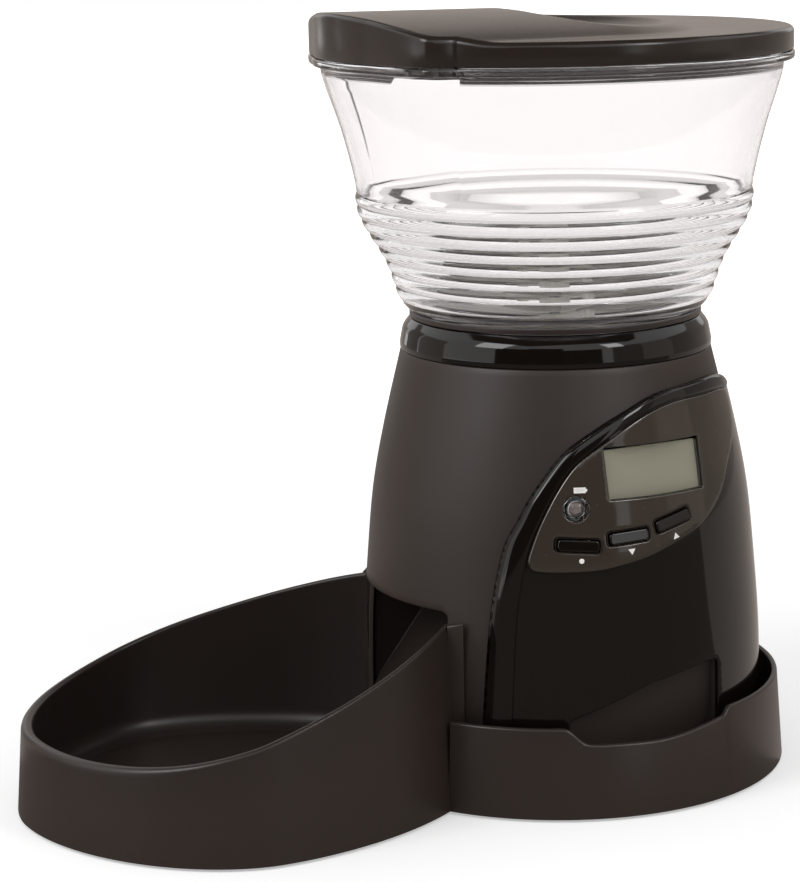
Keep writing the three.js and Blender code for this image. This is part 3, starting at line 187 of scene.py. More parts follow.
# The hopper's outline: shares of its height and of the way from its foot's radius to its mouth's, and how
# far the plan has turned from round into the lid's.
HOPPER_SHARES = (
    (0, 0, 0), (0.036, 0.108, 0), (0.2, 0.292, 0), (0.36, 0.579, 0), (0.43, 0.639, 0.08), (0.49, 0.639, 0.12),
    (0.7, 0.787, 0.5), (0.93, 1, 1), (1, 1, 1),
)
HOPPER_FOOT = 76 * MM
HOPPER_HEIGHT = 132.5 * MM
HOPPER_FLANGE = 4.5 * MM
# The hopper's flange from below: how far out from the mouth and how far up, in millimetres.
HOPPER_ROLL = (
    (1.3, 0.1), (2.4, 0.35), (4.7, 0.35), (5.3, 0.6), (5.6, 1.2), (5.65, 2.2), (5.65, 3.6), (5.3, 4.2),
    (4.7, 4.5),
)
# The hopper's floor inside and its spigot: radius, and height over the hopper's foot, in millimetres.
HOPPER_FLOOR = (
    (80.3, 8.5), (77.6, 5.6), (74.8, 3.6), (71.5, 2.7), (68, 2.5), (64.8, 2.5), (64.1, 2.1), (64, 1.4),
    (64, -1.9), (64.4, -2.4), (69.1, -2.4), (69.5, -2.0), (69.5, -0.05),
)
MOUTH_RADIUS = 118.3 * MM
LID_RADIUS = 123.5 * MM
TONGUE_HALF = 86 * MM
TONGUE_FRONT = 121 * MM
FRONT_RADIUS = 200 * MM
ARCH_RADIUS = 400 * MM
BACK_RADIUS = 225 * MM
DISH_CENTRE = 16 * MM
DISH_HALF = (73 * MM, 43 * MM)
DISH_SOFT = 1.8 * MM
LID_LEDGE = 18 * MM

# The photograph's side, in degrees round the tower.
CAMERA_ANGLE = 66
# The dark cards of the studio, which only reflections see: they hide the white sky and floor from them.
# Each has its name, its first and last angle in degrees, its foot and top, and how bright it is.
CARD_REACH = 1.9
CARDS = (
    ("left_card", 286, 306, 0.0, 1.0, 0.30), ("left_card_near", 308, 338, 0.0, 1.0, 0.45),
    ("front_card", 22, 46, 0.0, 1.0, 0.02), ("camera_card", 46, 72, 0.0, 1.2, 0.02),
    ("right_card_1", 72, 100, 0.0, 0.75, 0.04), ("right_card_2", 108, 132, 0.0, 1.1, 0.27),
    ("right_card_3", 132, 160, 0.0, 1.1, 0.55), ("right_card_4", 160, 186, 0.0, 1.1, 0.34),
    ("right_card_5", 186, 212, 0.0, 1.1, 0.36), ("behind_card_1", 226, 248, 0.46, 1.2, 0.60),
    ("behind_card_2", 248, 272, 0.46, 1.2, 0.60), ("high_card_1", 196, 236, 1.2, 2.3, 0.12),
    ("high_card_2", 236, 276, 1.2, 2.3, 0.12), ("low_card_1", 212, 244, 0.0, 0.455, 0.45),
    ("low_card_2", 244, 280, 0.0, 0.455, 0.45),
)


class Profile:
    """A smooth curve through points that rise along their first number."""

    def __init__(self, points):
        self.x = [p[0] for p in points]
        self.y = [p[1] for p in points]
        last = len(points) - 1
        self.slope = []
        for i in range(len(points)):
            low, high = max(i - 1, 0), min(i + 1, last)
            self.slope.append((self.y[high] - self.y[low]) / (self.x[high] - self.x[low]))

    def __call__(self, x):
        i = min(max(int(np.searchsorted(self.x, x)) - 1, 0), len(self.x) - 2)
        span = self.x[i + 1] - self.x[i]
        t = min(max((x - self.x[i]) / span, 0), 1)
        rise = self.y[i + 1] - self.y[i]
        a = self.slope[i] * span - rise
        b = rise - self.slope[i + 1] * span
        return self.y[i] + t * rise + t * (1 - t) * ((1 - t) * a + t * b)


tower_radius = Profile([(SHELL_LOW.z + h * SHELL_HEIGHT, r * FOOT_RADIUS) for h, r in TOWER_SHARES])


def polar(radius, angle, height):
    """A point round the tower's axis."""
    return Vector((radius * math.sin(angle), AXIS_Y - radius * math.cos(angle), height))


def on_panel(along, height, stand, facing=PANEL_ANGLE):
    """A point on the tower's wall, from its place on the upright plane that faces out at an angle."""
    radius = tower_radius(height) + stand
    return polar(radius, facing + math.asin(along / radius), height)


def wall_frame(angle, height, stand=0.0, turn=0.0):
    """A frame on the sloping wall: X along it, Y up it and Z straight out."""
    step = WALL
    slope = math.atan((tower_radius(height - step) - tower_radius(height + step)) / (2 * step))
    out = Vector((math.sin(angle) * math.cos(slope), -math.cos(angle) * math.cos(slope), math.sin(slope)))
    along = Vector((math.cos(angle), math.sin(angle), 0))
    up = out.cross(along)
    place = polar(tower_radius(height), angle, height) + stand * out
    matrix = Matrix((along, up, out)).transposed().to_4x4()
    matrix.translation = place
    return matrix @ Matrix.Rotation(turn, 4, "Z")


def plan_radius(angle, power=30):
    """The lid's plan: a circle with a wider tongue in front, whose face is slightly curved."""
    across, ahead = abs(math.sin(angle)), math.cos(angle)
    if ahead <= 0:
        return LID_RADIUS
    bulge = across * across / (2 * FRONT_RADIUS)
    front = 2 * TONGUE_FRONT / (ahead + math.sqrt(ahead * ahead + 4 * bulge * TONGUE_FRONT))
    side = TONGUE_HALF / max(across, TONGUE_HALF / LID_RADIUS / 2)
    return max(LID_RADIUS, front * (1 + (front / side) ** power) ** (-1 / power))


def plan_angles(step=math.radians(1.8), fine=math.radians(0.35)):
    """Angles round the plan, closer together at the tongue's two corners."""
    corner = math.atan2(TONGUE_HALF, TONGUE_FRONT - TONGUE_HALF ** 2 / (2 * FRONT_RADIUS))
    near = [corner + i * fine for i in range(-14, 15)]
    near = near + [TAU - a for a in near]
    count = int(TAU / step)
    coarse = [TAU * i / count for i in range(count)]
    reach = 15 * fine
    coarse = [a for a in coarse if min(abs(a - corner), abs(a - TAU + corner)) > reach]
    return sorted(near + coarse)


PLAN_ANGLES = plan_angles()


def smooth_through(points, per_span=8, closed=False):
    """Points along a smooth curve through the given ones."""
    count = len(points)
    made = []
    spans = count if closed else count - 1
    for i in range(spans):
        if closed:
            a, b, c, d = (Vector(points[(i + k) % count]) for k in (-1, 0, 1, 2))
        else:
            a, b, c, d = (Vector(points[min(max(i + k, 0), count - 1)]) for k in (-1, 0, 1, 2))
        for k in range(per_span):
            t = k / per_span
            made.append(0.5 * (2 * b + (c - a) * t + (2 * a - 5 * b + 4 * c - d) * t * t
                               + (3 * b - a - 3 * c + d) * t * t * t))
    if not closed:
        made.append(Vector(points[-1]))
    return made


def rounded(points, radius, closed=True, steps=4):
    """An outline with its corners turned into arcs."""
    made = []
    count = len(points)
    for i in range(count):
        here = Vector(points[i])
        if not closed and i in (0, count - 1):
            made.append(here)
            continue
        a = Vector(points[i - 1]) - here
        b = Vector(points[(i + 1) % count]) - here
        angle = a.angle(b)
        size = radius[i] if isinstance(radius, (list, tuple)) else radius
        if size <= 0 or angle > math.radians(176):
            made.append(here)
            continue
        reach = min(size / math.tan(angle / 2), a.length * 0.48, b.length * 0.48)
        a.normalize()
        b.normalize()
        centre = here + (a + b).normalized() * (reach / math.cos(angle / 2))
        first, second = here + a * reach - centre, here + b * reach - centre
        sweep = first.angle(second)
        for k in range(steps + 1):
            t = k / steps
            turned = first * math.sin((1 - t) * sweep) + second * math.sin(t * sweep)
            made.append(centre + turned / math.sin(sweep))
    return made


def resampled(points, pitch, closed=True):
    """The same outline with points about a pitch apart, its own points kept."""
    made = []
    count = len(points)
    for i in range(count if closed else count - 1):
        a, b = Vector(points[i]), Vector(points[(i + 1) % count])
        parts = max(1, math.ceil((b - a).length / pitch - 0.2))
        made.extend(a.lerp(b, k / parts) for k in range(parts))
    if not closed:
        made.append(Vector(points[-1]))
    return made


def area_of(loop):
    return sum(a.x * b.y - b.x * a.y for a, b in zip(loop, loop[1:] + loop[:1])) / 2


def wound(loop, left):
    """The loop in the order that keeps its inside on the left, or on the right."""
    loop = [Vector(p) for p in loop]
    return loop if (area_of(loop) > 0) == left else loop[::-1]


def quarter(steps):
    """A quarter circle of radius 1 in even steps: how far in and how far below its top each point lies."""
    angles = [TAU / 4 * k / steps for k in range(steps + 1)]
    return [(1 - math.cos(a), 1 - math.sin(a)) for a in angles]


def inset(loop, distance):
    """A loop moved to its left."""
    made = []
    count = len(loop)
    for i in range(count):
        along = loop[(i + 1) % count] - loop[i - 1]
        made.append(loop[i] + Vector((-along.y, along.x)).normalized() * distance)
    return made


def inside(points, loop):
    """Which of the points lie in a loop."""
    ring = np.array([[p.x, p.y] for p in loop])
    after = np.roll(ring, -1, 0)
    found = np.zeros(len(points), bool)
    for (ax, ay), (bx, by) in zip(ring, after):
        if ay == by:
            continue
        crosses = (points[:, 1] < ay) != (points[:, 1] < by)
        x = ax + (points[:, 1] - ay) * (bx - ax) / (by - ay)
        found ^= crosses & (points[:, 0] < x)
    return found


def filled(loops, pitch):
    """An even mesh inside the first loop and outside the others: its points, loops first, and triangles."""
    edge = [p for loop in loops for p in loop]
    ring = np.array([[p.x, p.y] for p in edge])
    low, high = ring.min(0), ring.max(0)
    rows = np.arange(low[1], high[1], pitch * 0.866)
    columns = np.arange(low[0], high[0], pitch)
    grid = np.array([[x + (j % 2) * pitch / 2, y] for j, y in enumerate(rows) for x in columns])
    keep = inside(grid, loops[0])
    for hole in loops[1:]:
        keep &= ~inside(grid, hole)
    grid = grid[keep]
    room = (0.6 * pitch) ** 2
    clear = np.array([np.min((ring[:, 0] - x) ** 2 + (ring[:, 1] - y) ** 2) > room for x, y in grid])
    grid = grid[clear] if len(grid) else grid
    points = edge + [Vector(p) for p in grid]
    links = []
    start = 0
    for loop in loops:
        links += [(start + i, start + (i + 1) % len(loop)) for i in range(len(loop))]
        start += len(loop)
    out, _, faces, origin, _, _ = delaunay_2d_cdt(points, links, [], 0, 1e-9, True)
    index = [o[0] if o else -1 for o in origin]
    for i, known in enumerate(index):
        if known < 0:
            index[i] = len(points)
            points.append(out[i])
    centres = np.array([sum((out[i] for i in f), Vector((0, 0))) / len(f) for f in faces])
    keep = inside(centres, loops[0])
    for hole in loops[1:]:
        keep &= ~inside(centres, hole)
    return points, [[index[i] for i in f] for f, k in zip(faces, keep) if k]


class Form:
    """Points and faces that are gathered before they become a mesh."""

    def __init__(self):
        self.points, self.faces, self.paints = [], [], []

    def ring(self, points):
        start = len(self.points)
        self.points.extend(Vector(p) for p in points)
        return list(range(start, len(self.points)))

    def face(self, corners, paint=0):
        self.faces.append(list(corners))
        self.paints.append(paint)

    def band(self, first, second, closed=True, paint=0):
        count = len(first)
        for i in range(count if closed else count - 1):
            k = (i + 1) % count
            self.face((first[i], first[k], second[k], second[i]), paint)

    def loft(self, rings, closed=True, joined=False, caps=True, paint=0):
        """A skin through rings, with capped ends or with its last ring joined to its first."""
        made = [self.ring(r) for r in rings]
        for a, b in zip(made, made[1:]):
            self.band(a, b, closed, paint)
        if joined:
            self.band(made[-1], made[0], closed, paint)
        elif caps:
            self.face(made[0][::-1], paint)
            self.face(made[-1], paint)
        return made

    def turned(self, profile, sides=128, frame_at=None, paint=0):
        """A form turned round Z of its own frame, from radius and height."""
        frame_at = frame_at or Matrix.Translation((0, AXIS_Y, 0))
        rings = []
        for i in range(sides):
            a = TAU * i / sides
            rings.append([frame_at @ Vector((r * math.cos(a), r * math.sin(a), z)) for r, z in profile])
        made = [self.ring(r) for r in rings]
        for a, b in zip(made, made[1:] + made[:1]):
            self.band(a, b, True, paint)
        return made

    def prism(self, outline, low, high, edge, place, steps=3, both=False, paint=0, edge_paint=None):
        """An outline pushed along Z of its frame, its top edge rounded."""
        loop = wound(outline, True)
        levels = [(0, low)]
        if both:
            levels = [(edge * below, low + edge * into) for into, below in quarter(steps)]
        levels += [(edge * into, high - edge * below) for into, below in quarter(steps)]
        made = [self.ring(place @ Vector((p.x, p.y, z)) for p in inset(loop, d)) for d, z in levels]
        body_rings = len(made) - steps - 1
        for i, (a, b) in enumerate(zip(made, made[1:])):
            self.band(a, b, True, paint if edge_paint is None or i < body_rings else edge_paint)
        self.face(made[0][::-1], paint)
        self.face(made[-1], paint)

    def wall(self, place, outline, holes, front, back, edge, pitch, paint=0, edge_paint=None, rim=True,
             steps=3):
        """A curved wall with rounded edges, from a flat outline with holes. place takes x, y and a stand."""
        loops = [wound(resampled(outline, pitch), True)]
        loops += [wound(resampled(hole, pitch), False) for hole in holes]
        rounds = [rim] + [True] * len(holes)
        inner = [inset(loop, edge) if r else loop for loop, r in zip(loops, rounds)]
        points, faces = filled(inner, pitch)
        top = self.ring(place(p.x, p.y, front) for p in points)
        under = self.ring(place(p.x, p.y, back) for p in points)
        for f in faces:
            self.face([top[i] for i in f], paint)
            self.face([under[i] for i in reversed(f)], paint)
        start = 0
        for loop, r in zip(loops, rounds):
            face_ring = top[start:start + len(loop)]
            back_ring = under[start:start + len(loop)]
            start += len(loop)
            if not r:
                continue
            rings = [self.ring(place(p.x, p.y, back) for p in loop)]
            for into, below in quarter(steps)[:-1]:
                moved = inset(loop, edge * into)
                rings.append(self.ring(place(p.x, p.y, front - edge * below) for p in moved))
            rings.append(face_ring)
            self.band(back_ring, rings[0], True, paint)
            self.band(rings[0], rings[1], True, paint)
            for a, b in zip(rings[1:], rings[2:]):
                self.band(a, b, True, paint if edge_paint is None else edge_paint)

    def piece(self, name, body, nodes, slot, *paints, sharp=38, weighted=False):
        """The mesh as an object that rides on a body and stands for its nodes."""
        mesh = bpy.data.meshes.new(name)
        mesh.from_pydata(self.points, [], self.faces)
        mesh.polygons.foreach_set("material_index", self.paints)
        net = bmesh.new()
        net.from_mesh(mesh)
        bmesh.ops.remove_doubles(net, verts=net.verts, dist=1e-6)
        bmesh.ops.recalc_face_normals(net, faces=net.faces)
        net.to_mesh(mesh)
        net.free()
        return finish_piece(name, mesh, body, nodes, paints, sharp, weighted)


def finish_piece(name, mesh, body, nodes, paints, sharp, weighted):
    for paint in paints:
        mesh.materials.append(paint)
    mesh.polygons.foreach_set("use_smooth", [True] * len(mesh.polygons))
    mesh.set_sharp_from_angle(angle=math.radians(sharp))
    made = bpy.data.objects.new(name, mesh)
    bpy.context.scene.collection.objects.link(made)
    if weighted:
        made.modifiers.new("even normals", "WEIGHTED_NORMAL").keep_sharp = True
    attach(made, body)
    if nodes:
        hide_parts(*nodes)
    return made


def machined(node, body, paint, edge=0.25 * MM):
    """A piece of plain faces: the node's own form with its flat faces joined and its edges broken."""
    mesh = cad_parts[node].data.copy()
    mesh.materials.clear()
    net = bmesh.new()
    net.from_mesh(mesh)
    bmesh.ops.remove_doubles(net, verts=net.verts, dist=2e-6)
    bmesh.ops.dissolve_limit(net, angle_limit=math.radians(1), verts=net.verts, edges=net.edges)
    net.to_mesh(mesh)
    net.free()
    made = finish_piece("made_" + node, mesh, body, (node,), (paint,), 28, False)
    bevel = made.modifiers.new("broken edges", "BEVEL")
    bevel.width = edge
    bevel.segments = 2
    bevel.limit_method = "ANGLE"
    bevel.angle_limit = math.radians(28)
    bevel.harden_normals = False
    made.modifiers.new("even normals", "WEIGHTED_NORMAL").keep_sharp = True
    return made


class Wire:
    """A number that varies over a surface. Python's operators add the nodes that work it out."""

    def __init__(self, paint, socket):
        self.paint, self.socket = paint, socket

    def sum(self, operation, *others):
        return self.paint.node("ShaderNodeMath", {"operation": operation}, (self, *others))

    def __add__(self, other):
        return self.sum("ADD", other)

    __radd__ = __add__

    def __sub__(self, other):
        return self.sum("SUBTRACT", other)

    def __rsub__(self, other):
        return self.paint.node("ShaderNodeMath", {"operation": "SUBTRACT"}, (other, self))

    def __mul__(self, other):
        return self.sum("MULTIPLY", other)

    __rmul__ = __mul__

    def clamped(self):
        return self.sum("MAXIMUM", 0.0).sum("MINIMUM", 1.0)


class Paint:
    """The nodes of one material, or of the world."""

    def __init__(self, name):
        self.material = bpy.data.materials.new(name)
        self.material.use_nodes = True
        self.nodes = self.material.node_tree.nodes
        self.links = self.material.node_tree.links
        self.shader = self.nodes["Principled BSDF"]

    @classmethod
    def on(cls, tree):
        """The same tools for a tree that is already there."""
        made = cls.__new__(cls)
        made.nodes, made.links = tree.nodes, tree.links
        return made

    def node(self, kind, settings=None, values=(), output=0):
        """Any node: its settings first, then its sockets by place or by name, and the output that is used."""
        made = self.nodes.new(kind)
        for key, value in (settings or {}).items():
            setattr(made, key, value)
        pairs = values.items() if isinstance(values, dict) else enumerate(values)
        for key, value in pairs:
            self.feed(made.inputs[key], value)
        return Wire(self, made.outputs[output])

    def feed(self, socket, value):
        if isinstance(value, Wire):
            self.links.new(value.socket, socket)
        else:
            socket.default_value = value

    def set(self, **values):
        """Constants and wires on the shader's sockets, named with underscores."""
        for key, value in values.items():
            self.feed(self.shader.inputs[key.replace("_", " ").title().replace("Ior", "IOR")], value)
        return self

    def place(self):
        return self.node("ShaderNodeTexCoord", output="Object")

    def noise(self, scale, detail=3.0, rough=0.55, stretch=None):
        vector = self.place()
        if stretch:
            vector = self.node("ShaderNodeVectorMath", {"operation": "MULTIPLY"}, (vector, stretch))
        return self.node("ShaderNodeTexNoise", {}, {"Vector": vector, "Scale": scale, "Detail": detail,
                                                    "Roughness": rough}, "Fac")

    def blend(self, factor, first, second):
        """Two colours mixed by a number."""
        return self.node("ShaderNodeMix", {"data_type": "RGBA"}, {0: factor, 6: first, 7: second}, 2)

    def edge(self, low=0.5, high=0.56):
        """How much a place stands out as an edge."""
        bare = self.node("ShaderNodeNewGeometry", output="Pointiness")
        return ((bare - low) * (1 / (high - low))).clamped()

    def bump(self, height, distance, strength=1.0):
        return self.node("ShaderNodeBump", {}, {"Height": height, "Distance": distance, "Strength": strength})


def rgb(color):
    return (color[0], color[1], color[2], 1.0)


def scaled(color, by):
    return (color[0] * by, color[1] * by, color[2] * by, 1.0)


def moulded(name, color, roughness, grain=0.02 * MM, grain_scale=2600, spread=0.07, cloud=0.14, polish=0.5,
            **fixed):
    """Moulded plastic: a fine even grain, faint flow clouds, and edges that handling has polished."""
    paint = Paint(name)
    clouds = paint.noise(9, 4, 0.6)
    fine = paint.noise(grain_scale, 2, 0.5)
    rubbed = paint.noise(34, 5, 0.65)
    edges = paint.edge()
    base = paint.blend(clouds, scaled(color, 1 - cloud), scaled(color, 1 + cloud))
    worn = paint.blend(edges * 0.35, base, scaled(color, 1.9))
    paint.set(base_color=worn)
    rough = rubbed * spread + (roughness - spread / 2) - edges * (polish * spread)
    paint.set(roughness=rough.clamped(), **fixed)
    if grain:
        paint.set(normal=paint.bump(fine * 0.8 + rubbed * 0.2, grain))
    return paint.material


def glossy(name, color, roughness=0.06, smudge=0.05, wave=0.05 * MM, **fixed):
    """Polished black plastic: hardly any grain, long faint waves, and a few smudges."""
    paint = Paint(name)
    smear = paint.noise(22, 5, 0.7, (1, 1, 0.45))
    dust = paint.noise(420, 2, 0.4)
    waves = paint.noise(16, 1, 0.3)
    marks = ((smear - 0.52) * 4).clamped()
    specks = ((dust - 0.72) * 9).clamped()
    paint.set(base_color=paint.blend(specks * 0.25 + marks * 0.05, rgb(color), scaled(color, 6)))
    paint.set(roughness=(marks * smudge + specks * 0.1 + roughness).clamped(), **fixed)
    paint.set(normal=paint.bump(waves, wave))
    return paint.material


def metal(name, color, roughness, stretch=(1, 1, 30)):
    """Drawn or plated metal, with fine lines and dull spots."""
    paint = Paint(name)
    lines = paint.noise(900, 3, 0.6, stretch)
    dull = paint.noise(60, 4, 0.6)
    paint.set(base_color=paint.blend(dull * 0.5, rgb(color), scaled(color, 0.78)), metallic=1.0)
    paint.set(roughness=(lines * 0.14 + dull * 0.1 + (roughness - 0.12)).clamped())
    paint.set(normal=paint.bump(lines, 0.004 * MM))
    return paint.material


def soft_rubber(name, color):
    """Matt rubber with a little bloom on it."""
    paint = Paint(name)
    bloom = paint.noise(120, 5, 0.7)
    fine = paint.noise(3000, 2, 0.5)
    paint.set(base_color=paint.blend(bloom * 0.35, rgb(color), scaled(color, 3)))
    paint.set(roughness=(bloom * 0.12 + 0.78).clamped(), normal=paint.bump(fine, 0.03 * MM))
    return paint.material


def clear_plastic(name, color, roughness=0.02, wave=0.12 * MM, ior=1.46):
    """Clear moulded plastic with long flow waves and light scuffs."""
    paint = Paint(name)
    waves = paint.noise(13, 2, 0.4, (1, 1, 0.5))
    scuffs = paint.noise(160, 5, 0.75)
    marks = ((scuffs - 0.6) * 5).clamped()
    paint.set(base_color=paint.blend(marks * 0.06, rgb(color), (0.82, 0.84, 0.86, 1)))
    paint.set(roughness=(marks * 0.07 + roughness).clamped(), transmission_weight=1.0, ior=ior)
    paint.set(normal=paint.bump(waves, wave))
    return paint.material


def thin_window(name, color, alpha):
    """A thin clear window that lets the light through to what lies behind it."""
    paint = Paint(name)
    smear = ((paint.noise(40, 5, 0.7) - 0.5) * 3).clamped()
    waves = paint.noise(20, 1, 0.3)
    paint.set(base_color=paint.blend(smear * 0.3, rgb(color), scaled(color, 1.5)), alpha=alpha)
    paint.set(roughness=smear * 0.05 + 0.04, normal=paint.bump(waves, 0.03 * MM))
    return paint.material


def liquid_crystal(name, color):
    """A switched-off liquid crystal display: grey green and a little cloudy."""
    paint = Paint(name)
    cloud = paint.noise(28, 3, 0.6)
    weave = paint.noise(1800, 2, 0.5)
    paint.set(base_color=paint.blend(cloud * 0.6 + weave * 0.15, scaled(color, 0.9), scaled(color, 1.12)))
    paint.set(roughness=(cloud * 0.1 + 0.3).clamped(), normal=paint.bump(weave, 0.005 * MM))
    return paint.material


def board_green(name, color):
    """Solder mask over the faint relief of its copper."""
    paint = Paint(name)
    sockets = {"Vector": paint.place(), "Scale": 180.0}
    cells = paint.node("ShaderNodeTexVoronoi", {"feature": "DISTANCE_TO_EDGE"}, sockets)
    tracks = ((0.12 - cells) * 12).clamped()
    paint.set(base_color=paint.blend(tracks, rgb(color), scaled(color, 1.8)))
    paint.set(roughness=(tracks * 0.1 + 0.3).clamped(), normal=paint.bump(tracks, 0.02 * MM))
    return paint.material


def number(name, text, default, low, high, unit="NONE"):
    return FloatProperty(name=name, description=text, default=default, min=low, max=high, unit=unit,
                         precision=4)


def color_of(name, text, default):
    return FloatVectorProperty(name=name, description=text, subtype="COLOR", size=3, min=0, max=1,
                               default=default)


class FeederSizes(bpy.types.PropertyGroup):
    """Sizes of the feeder's edges and small forms."""

    shell_edge: number("Shell edge", "Rounding of the tower's edges", 0.8 * MM, 0, 2 * MM, "LENGTH")
    panel_edge: number("Panel edge", "Rounding of the panel's edges", 0.9 * MM, 0, 2 * MM, "LENGTH")
    plate_edge: number("Plate edge", "Rounding of the leaf plate's edge", 0.45 * MM, 0, 1 * MM, "LENGTH")
    bowl_fillet: number("Bowl fillet", "Rounding between the bowl's wall and floor", 11 * MM, 2 * MM, 20 * MM,
                        "LENGTH")
    lid_edge: number("Lid edge", "Rounding of the lid's upper edge", 3 * MM, 1 * MM, 6 * MM, "LENGTH")
    lid_rise: number("Lid rise", "Height of the lid's crest over its ledge", 10.4 * MM, 4 * MM, 16 * MM,
                     "LENGTH")
    dish_depth: number("Dish depth", "Depth of the finger dish in the lid", 14 * MM, 4 * MM, 16 * MM,
                       "LENGTH")
    rib_rise: number("Rib rise", "Height of the ribs on the hopper", 1.3 * MM, 0, 3 * MM, "LENGTH")
    ribs: IntProperty(name="Ribs", description="Ribs round the hopper's lower wall", default=8, min=0, max=16)


class FeederColours(bpy.types.PropertyGroup):
    """Colours of the feeder's finishes."""

    shell: color_of("Shell", "Matt plastic of the tower", (0.033, 0.0225, 0.0185))
    tray: color_of("Tray", "Satin plastic of the tray", (0.026, 0.018, 0.015))
    gloss: color_of("Gloss", "Polished plastic of the panel, collar and keys", (0.0060, 0.0042, 0.0033))
    plate: color_of("Plate", "Polished plastic of the leaf plate", (0.043, 0.033, 0.026))
    lid: color_of("Lid", "Plastic of the lid", (0.022, 0.0155, 0.0125))
    hopper: color_of("Hopper", "Tint of the clear hopper", (0.86, 0.84, 0.84))
    display: color_of("Display", "Liquid crystal display", (0.44, 0.415, 0.30))
    white: color_of("White parts", "White moulded parts", (0.66, 0.64, 0.6))


class FeederStudio(bpy.types.PropertyGroup):
    """The camera and the lamps."""

    azimuth: number("Azimuth", "Camera's angle round the tower, in degrees", CAMERA_ANGLE, 0, 360)
    distance: number("Distance", "Camera's distance from the tower's axis", 1.430, 0.5, 4, "LENGTH")
    height: number("Height", "Camera's height over the floor", 0.467, 0, 2, "LENGTH")
    key: number("Key lamp", "Power of the large lamp on the left, in watts", 9, 0, 100)
    fill: number("Fill lamp", "Power of the lamp on the right, in watts", 5, 0, 100)
    sky: number("Sky", "Light from all round", 0.55, 0, 2)


def sizes():
    return bpy.context.scene.feeder_sizes


def colours():
    return bpy.context.scene.feeder_colours


_paints = {}


def finish(name):
    """The feeder's own finishes, each made once."""
    if name in _paints:
        return _paints[name]
    c = colours()
    recipes = {
        "shell": lambda: moulded("matt shell plastic", c.shell, 0.44, 0.016 * MM),
        "tray": lambda: moulded("satin tray plastic", c.tray, 0.36, 0.010 * MM),
        "gloss": lambda: glossy("polished black plastic", c.gloss),
        "plate": lambda: glossy("polished plate plastic", c.plate, 0.09),
        # The leaf plate's rounded edge: a lighter metallic paint, a painted highlight line laid over the
        # bevel's own highlight.
        "edge_highlight": lambda: metal("painted edge highlight", (0.16, 0.15, 0.14), 0.25),
        "lid": lambda: moulded("lid plastic", c.lid, 0.22, 0.006 * MM, spread=0.05),
        "hopper": lambda: clear_plastic("clear hopper plastic", c.hopper),
        "lens": lambda: clear_plastic("clear lens plastic", (0.97, 0.97, 0.96), 0.01, 0.02 * MM),
        "window": lambda: thin_window("clear window plastic", (0.3, 0.29, 0.26), 0.12),
        "lamp": lambda: clear_plastic("frosted lamp plastic", (0.92, 0.88, 0.87), 0.12, 0.05 * MM),
        "display": lambda: liquid_crystal("liquid crystal", c.display),
        "mark": lambda: moulded("white print", (0.75, 0.74, 0.72), 0.5, 0.004 * MM, cloud=0.04),
        "white": lambda: moulded("white plastic", c.white, 0.42, 0.012 * MM, cloud=0.05),
        "die": lambda: moulded("tinted lamp resin", (0.16, 0.13, 0.12), 0.3, 0.004 * MM, cloud=0.1),
        "dark": lambda: moulded("dark inner plastic", (0.04, 0.04, 0.042), 0.5, 0.02 * MM),
        "nylon": lambda: moulded("natural nylon", (0.76, 0.72, 0.62), 0.38, 0.01 * MM, cloud=0.06,
                                 subsurface_weight=0.1, subsurface_scale=0.001),
        "rubber": lambda: soft_rubber("foot rubber", (0.012, 0.012, 0.012)),
        "board": lambda: board_green("circuit board", (0.012, 0.1, 0.03)),
        "steel": lambda: metal("bright steel", (0.55, 0.56, 0.57), 0.3),
        "nickel": lambda: metal("nickel plate", (0.6, 0.57, 0.52), 0.26),
        "jacket": lambda: moulded("cell jacket", (0.07, 0.08, 0.1), 0.28, 0.004 * MM, metallic=0.6),
    }
    _paints[name] = recipes[name]()
    return _paints[name]


def bowl_point(t, into, height, tip=None):
    """A point on the bowl's outline, moved in from its outside. The tip may be moved in further."""
    shrink = BOWL_DRAFT * (height - TRAY_LOW.z) / (TRAY_HIGH.z - TRAY_LOW.z)
    across, ahead = math.sin(t), math.cos(t)
    length = BOWL_BACK - into if ahead < 0 else BOWL_FRONT - (into if tip is None else tip)
    bent = 2 / BOWL_POWER
    x = (BOWL_HALF_WIDTH - shrink - into) * math.copysign(abs(across) ** bent, across)
    y = (length - shrink) * math.copysign(abs(ahead) ** bent, ahead)
    return Vector((x, AXIS_Y - BOWL_CENTRE - y, height))


def bowl_end(into, height, radius):
    """Where the bowl's wall meets a round form about the tower's axis."""
    low, high = TAU / 4, TAU / 2
    for _ in range(30):
        t = (low + high) / 2
        p = bowl_point(t, into, height)
        if math.hypot(p.x, p.y - AXIS_Y) > radius:
            low = t
        else:
            high = t
    return low


def rim_height():
    """The rim's height over the way from the bowl's tip to the tower."""
    tip = BOWL_CENTRE + BOWL_FRONT
    reach = tip - RIM_END
    climb = TRAY_HIGH.z - BOWL_TIP_HEIGHT
    return Profile([(a * reach - tip, BOWL_TIP_HEIGHT + up * climb) for a, up in RIM_SHARES])


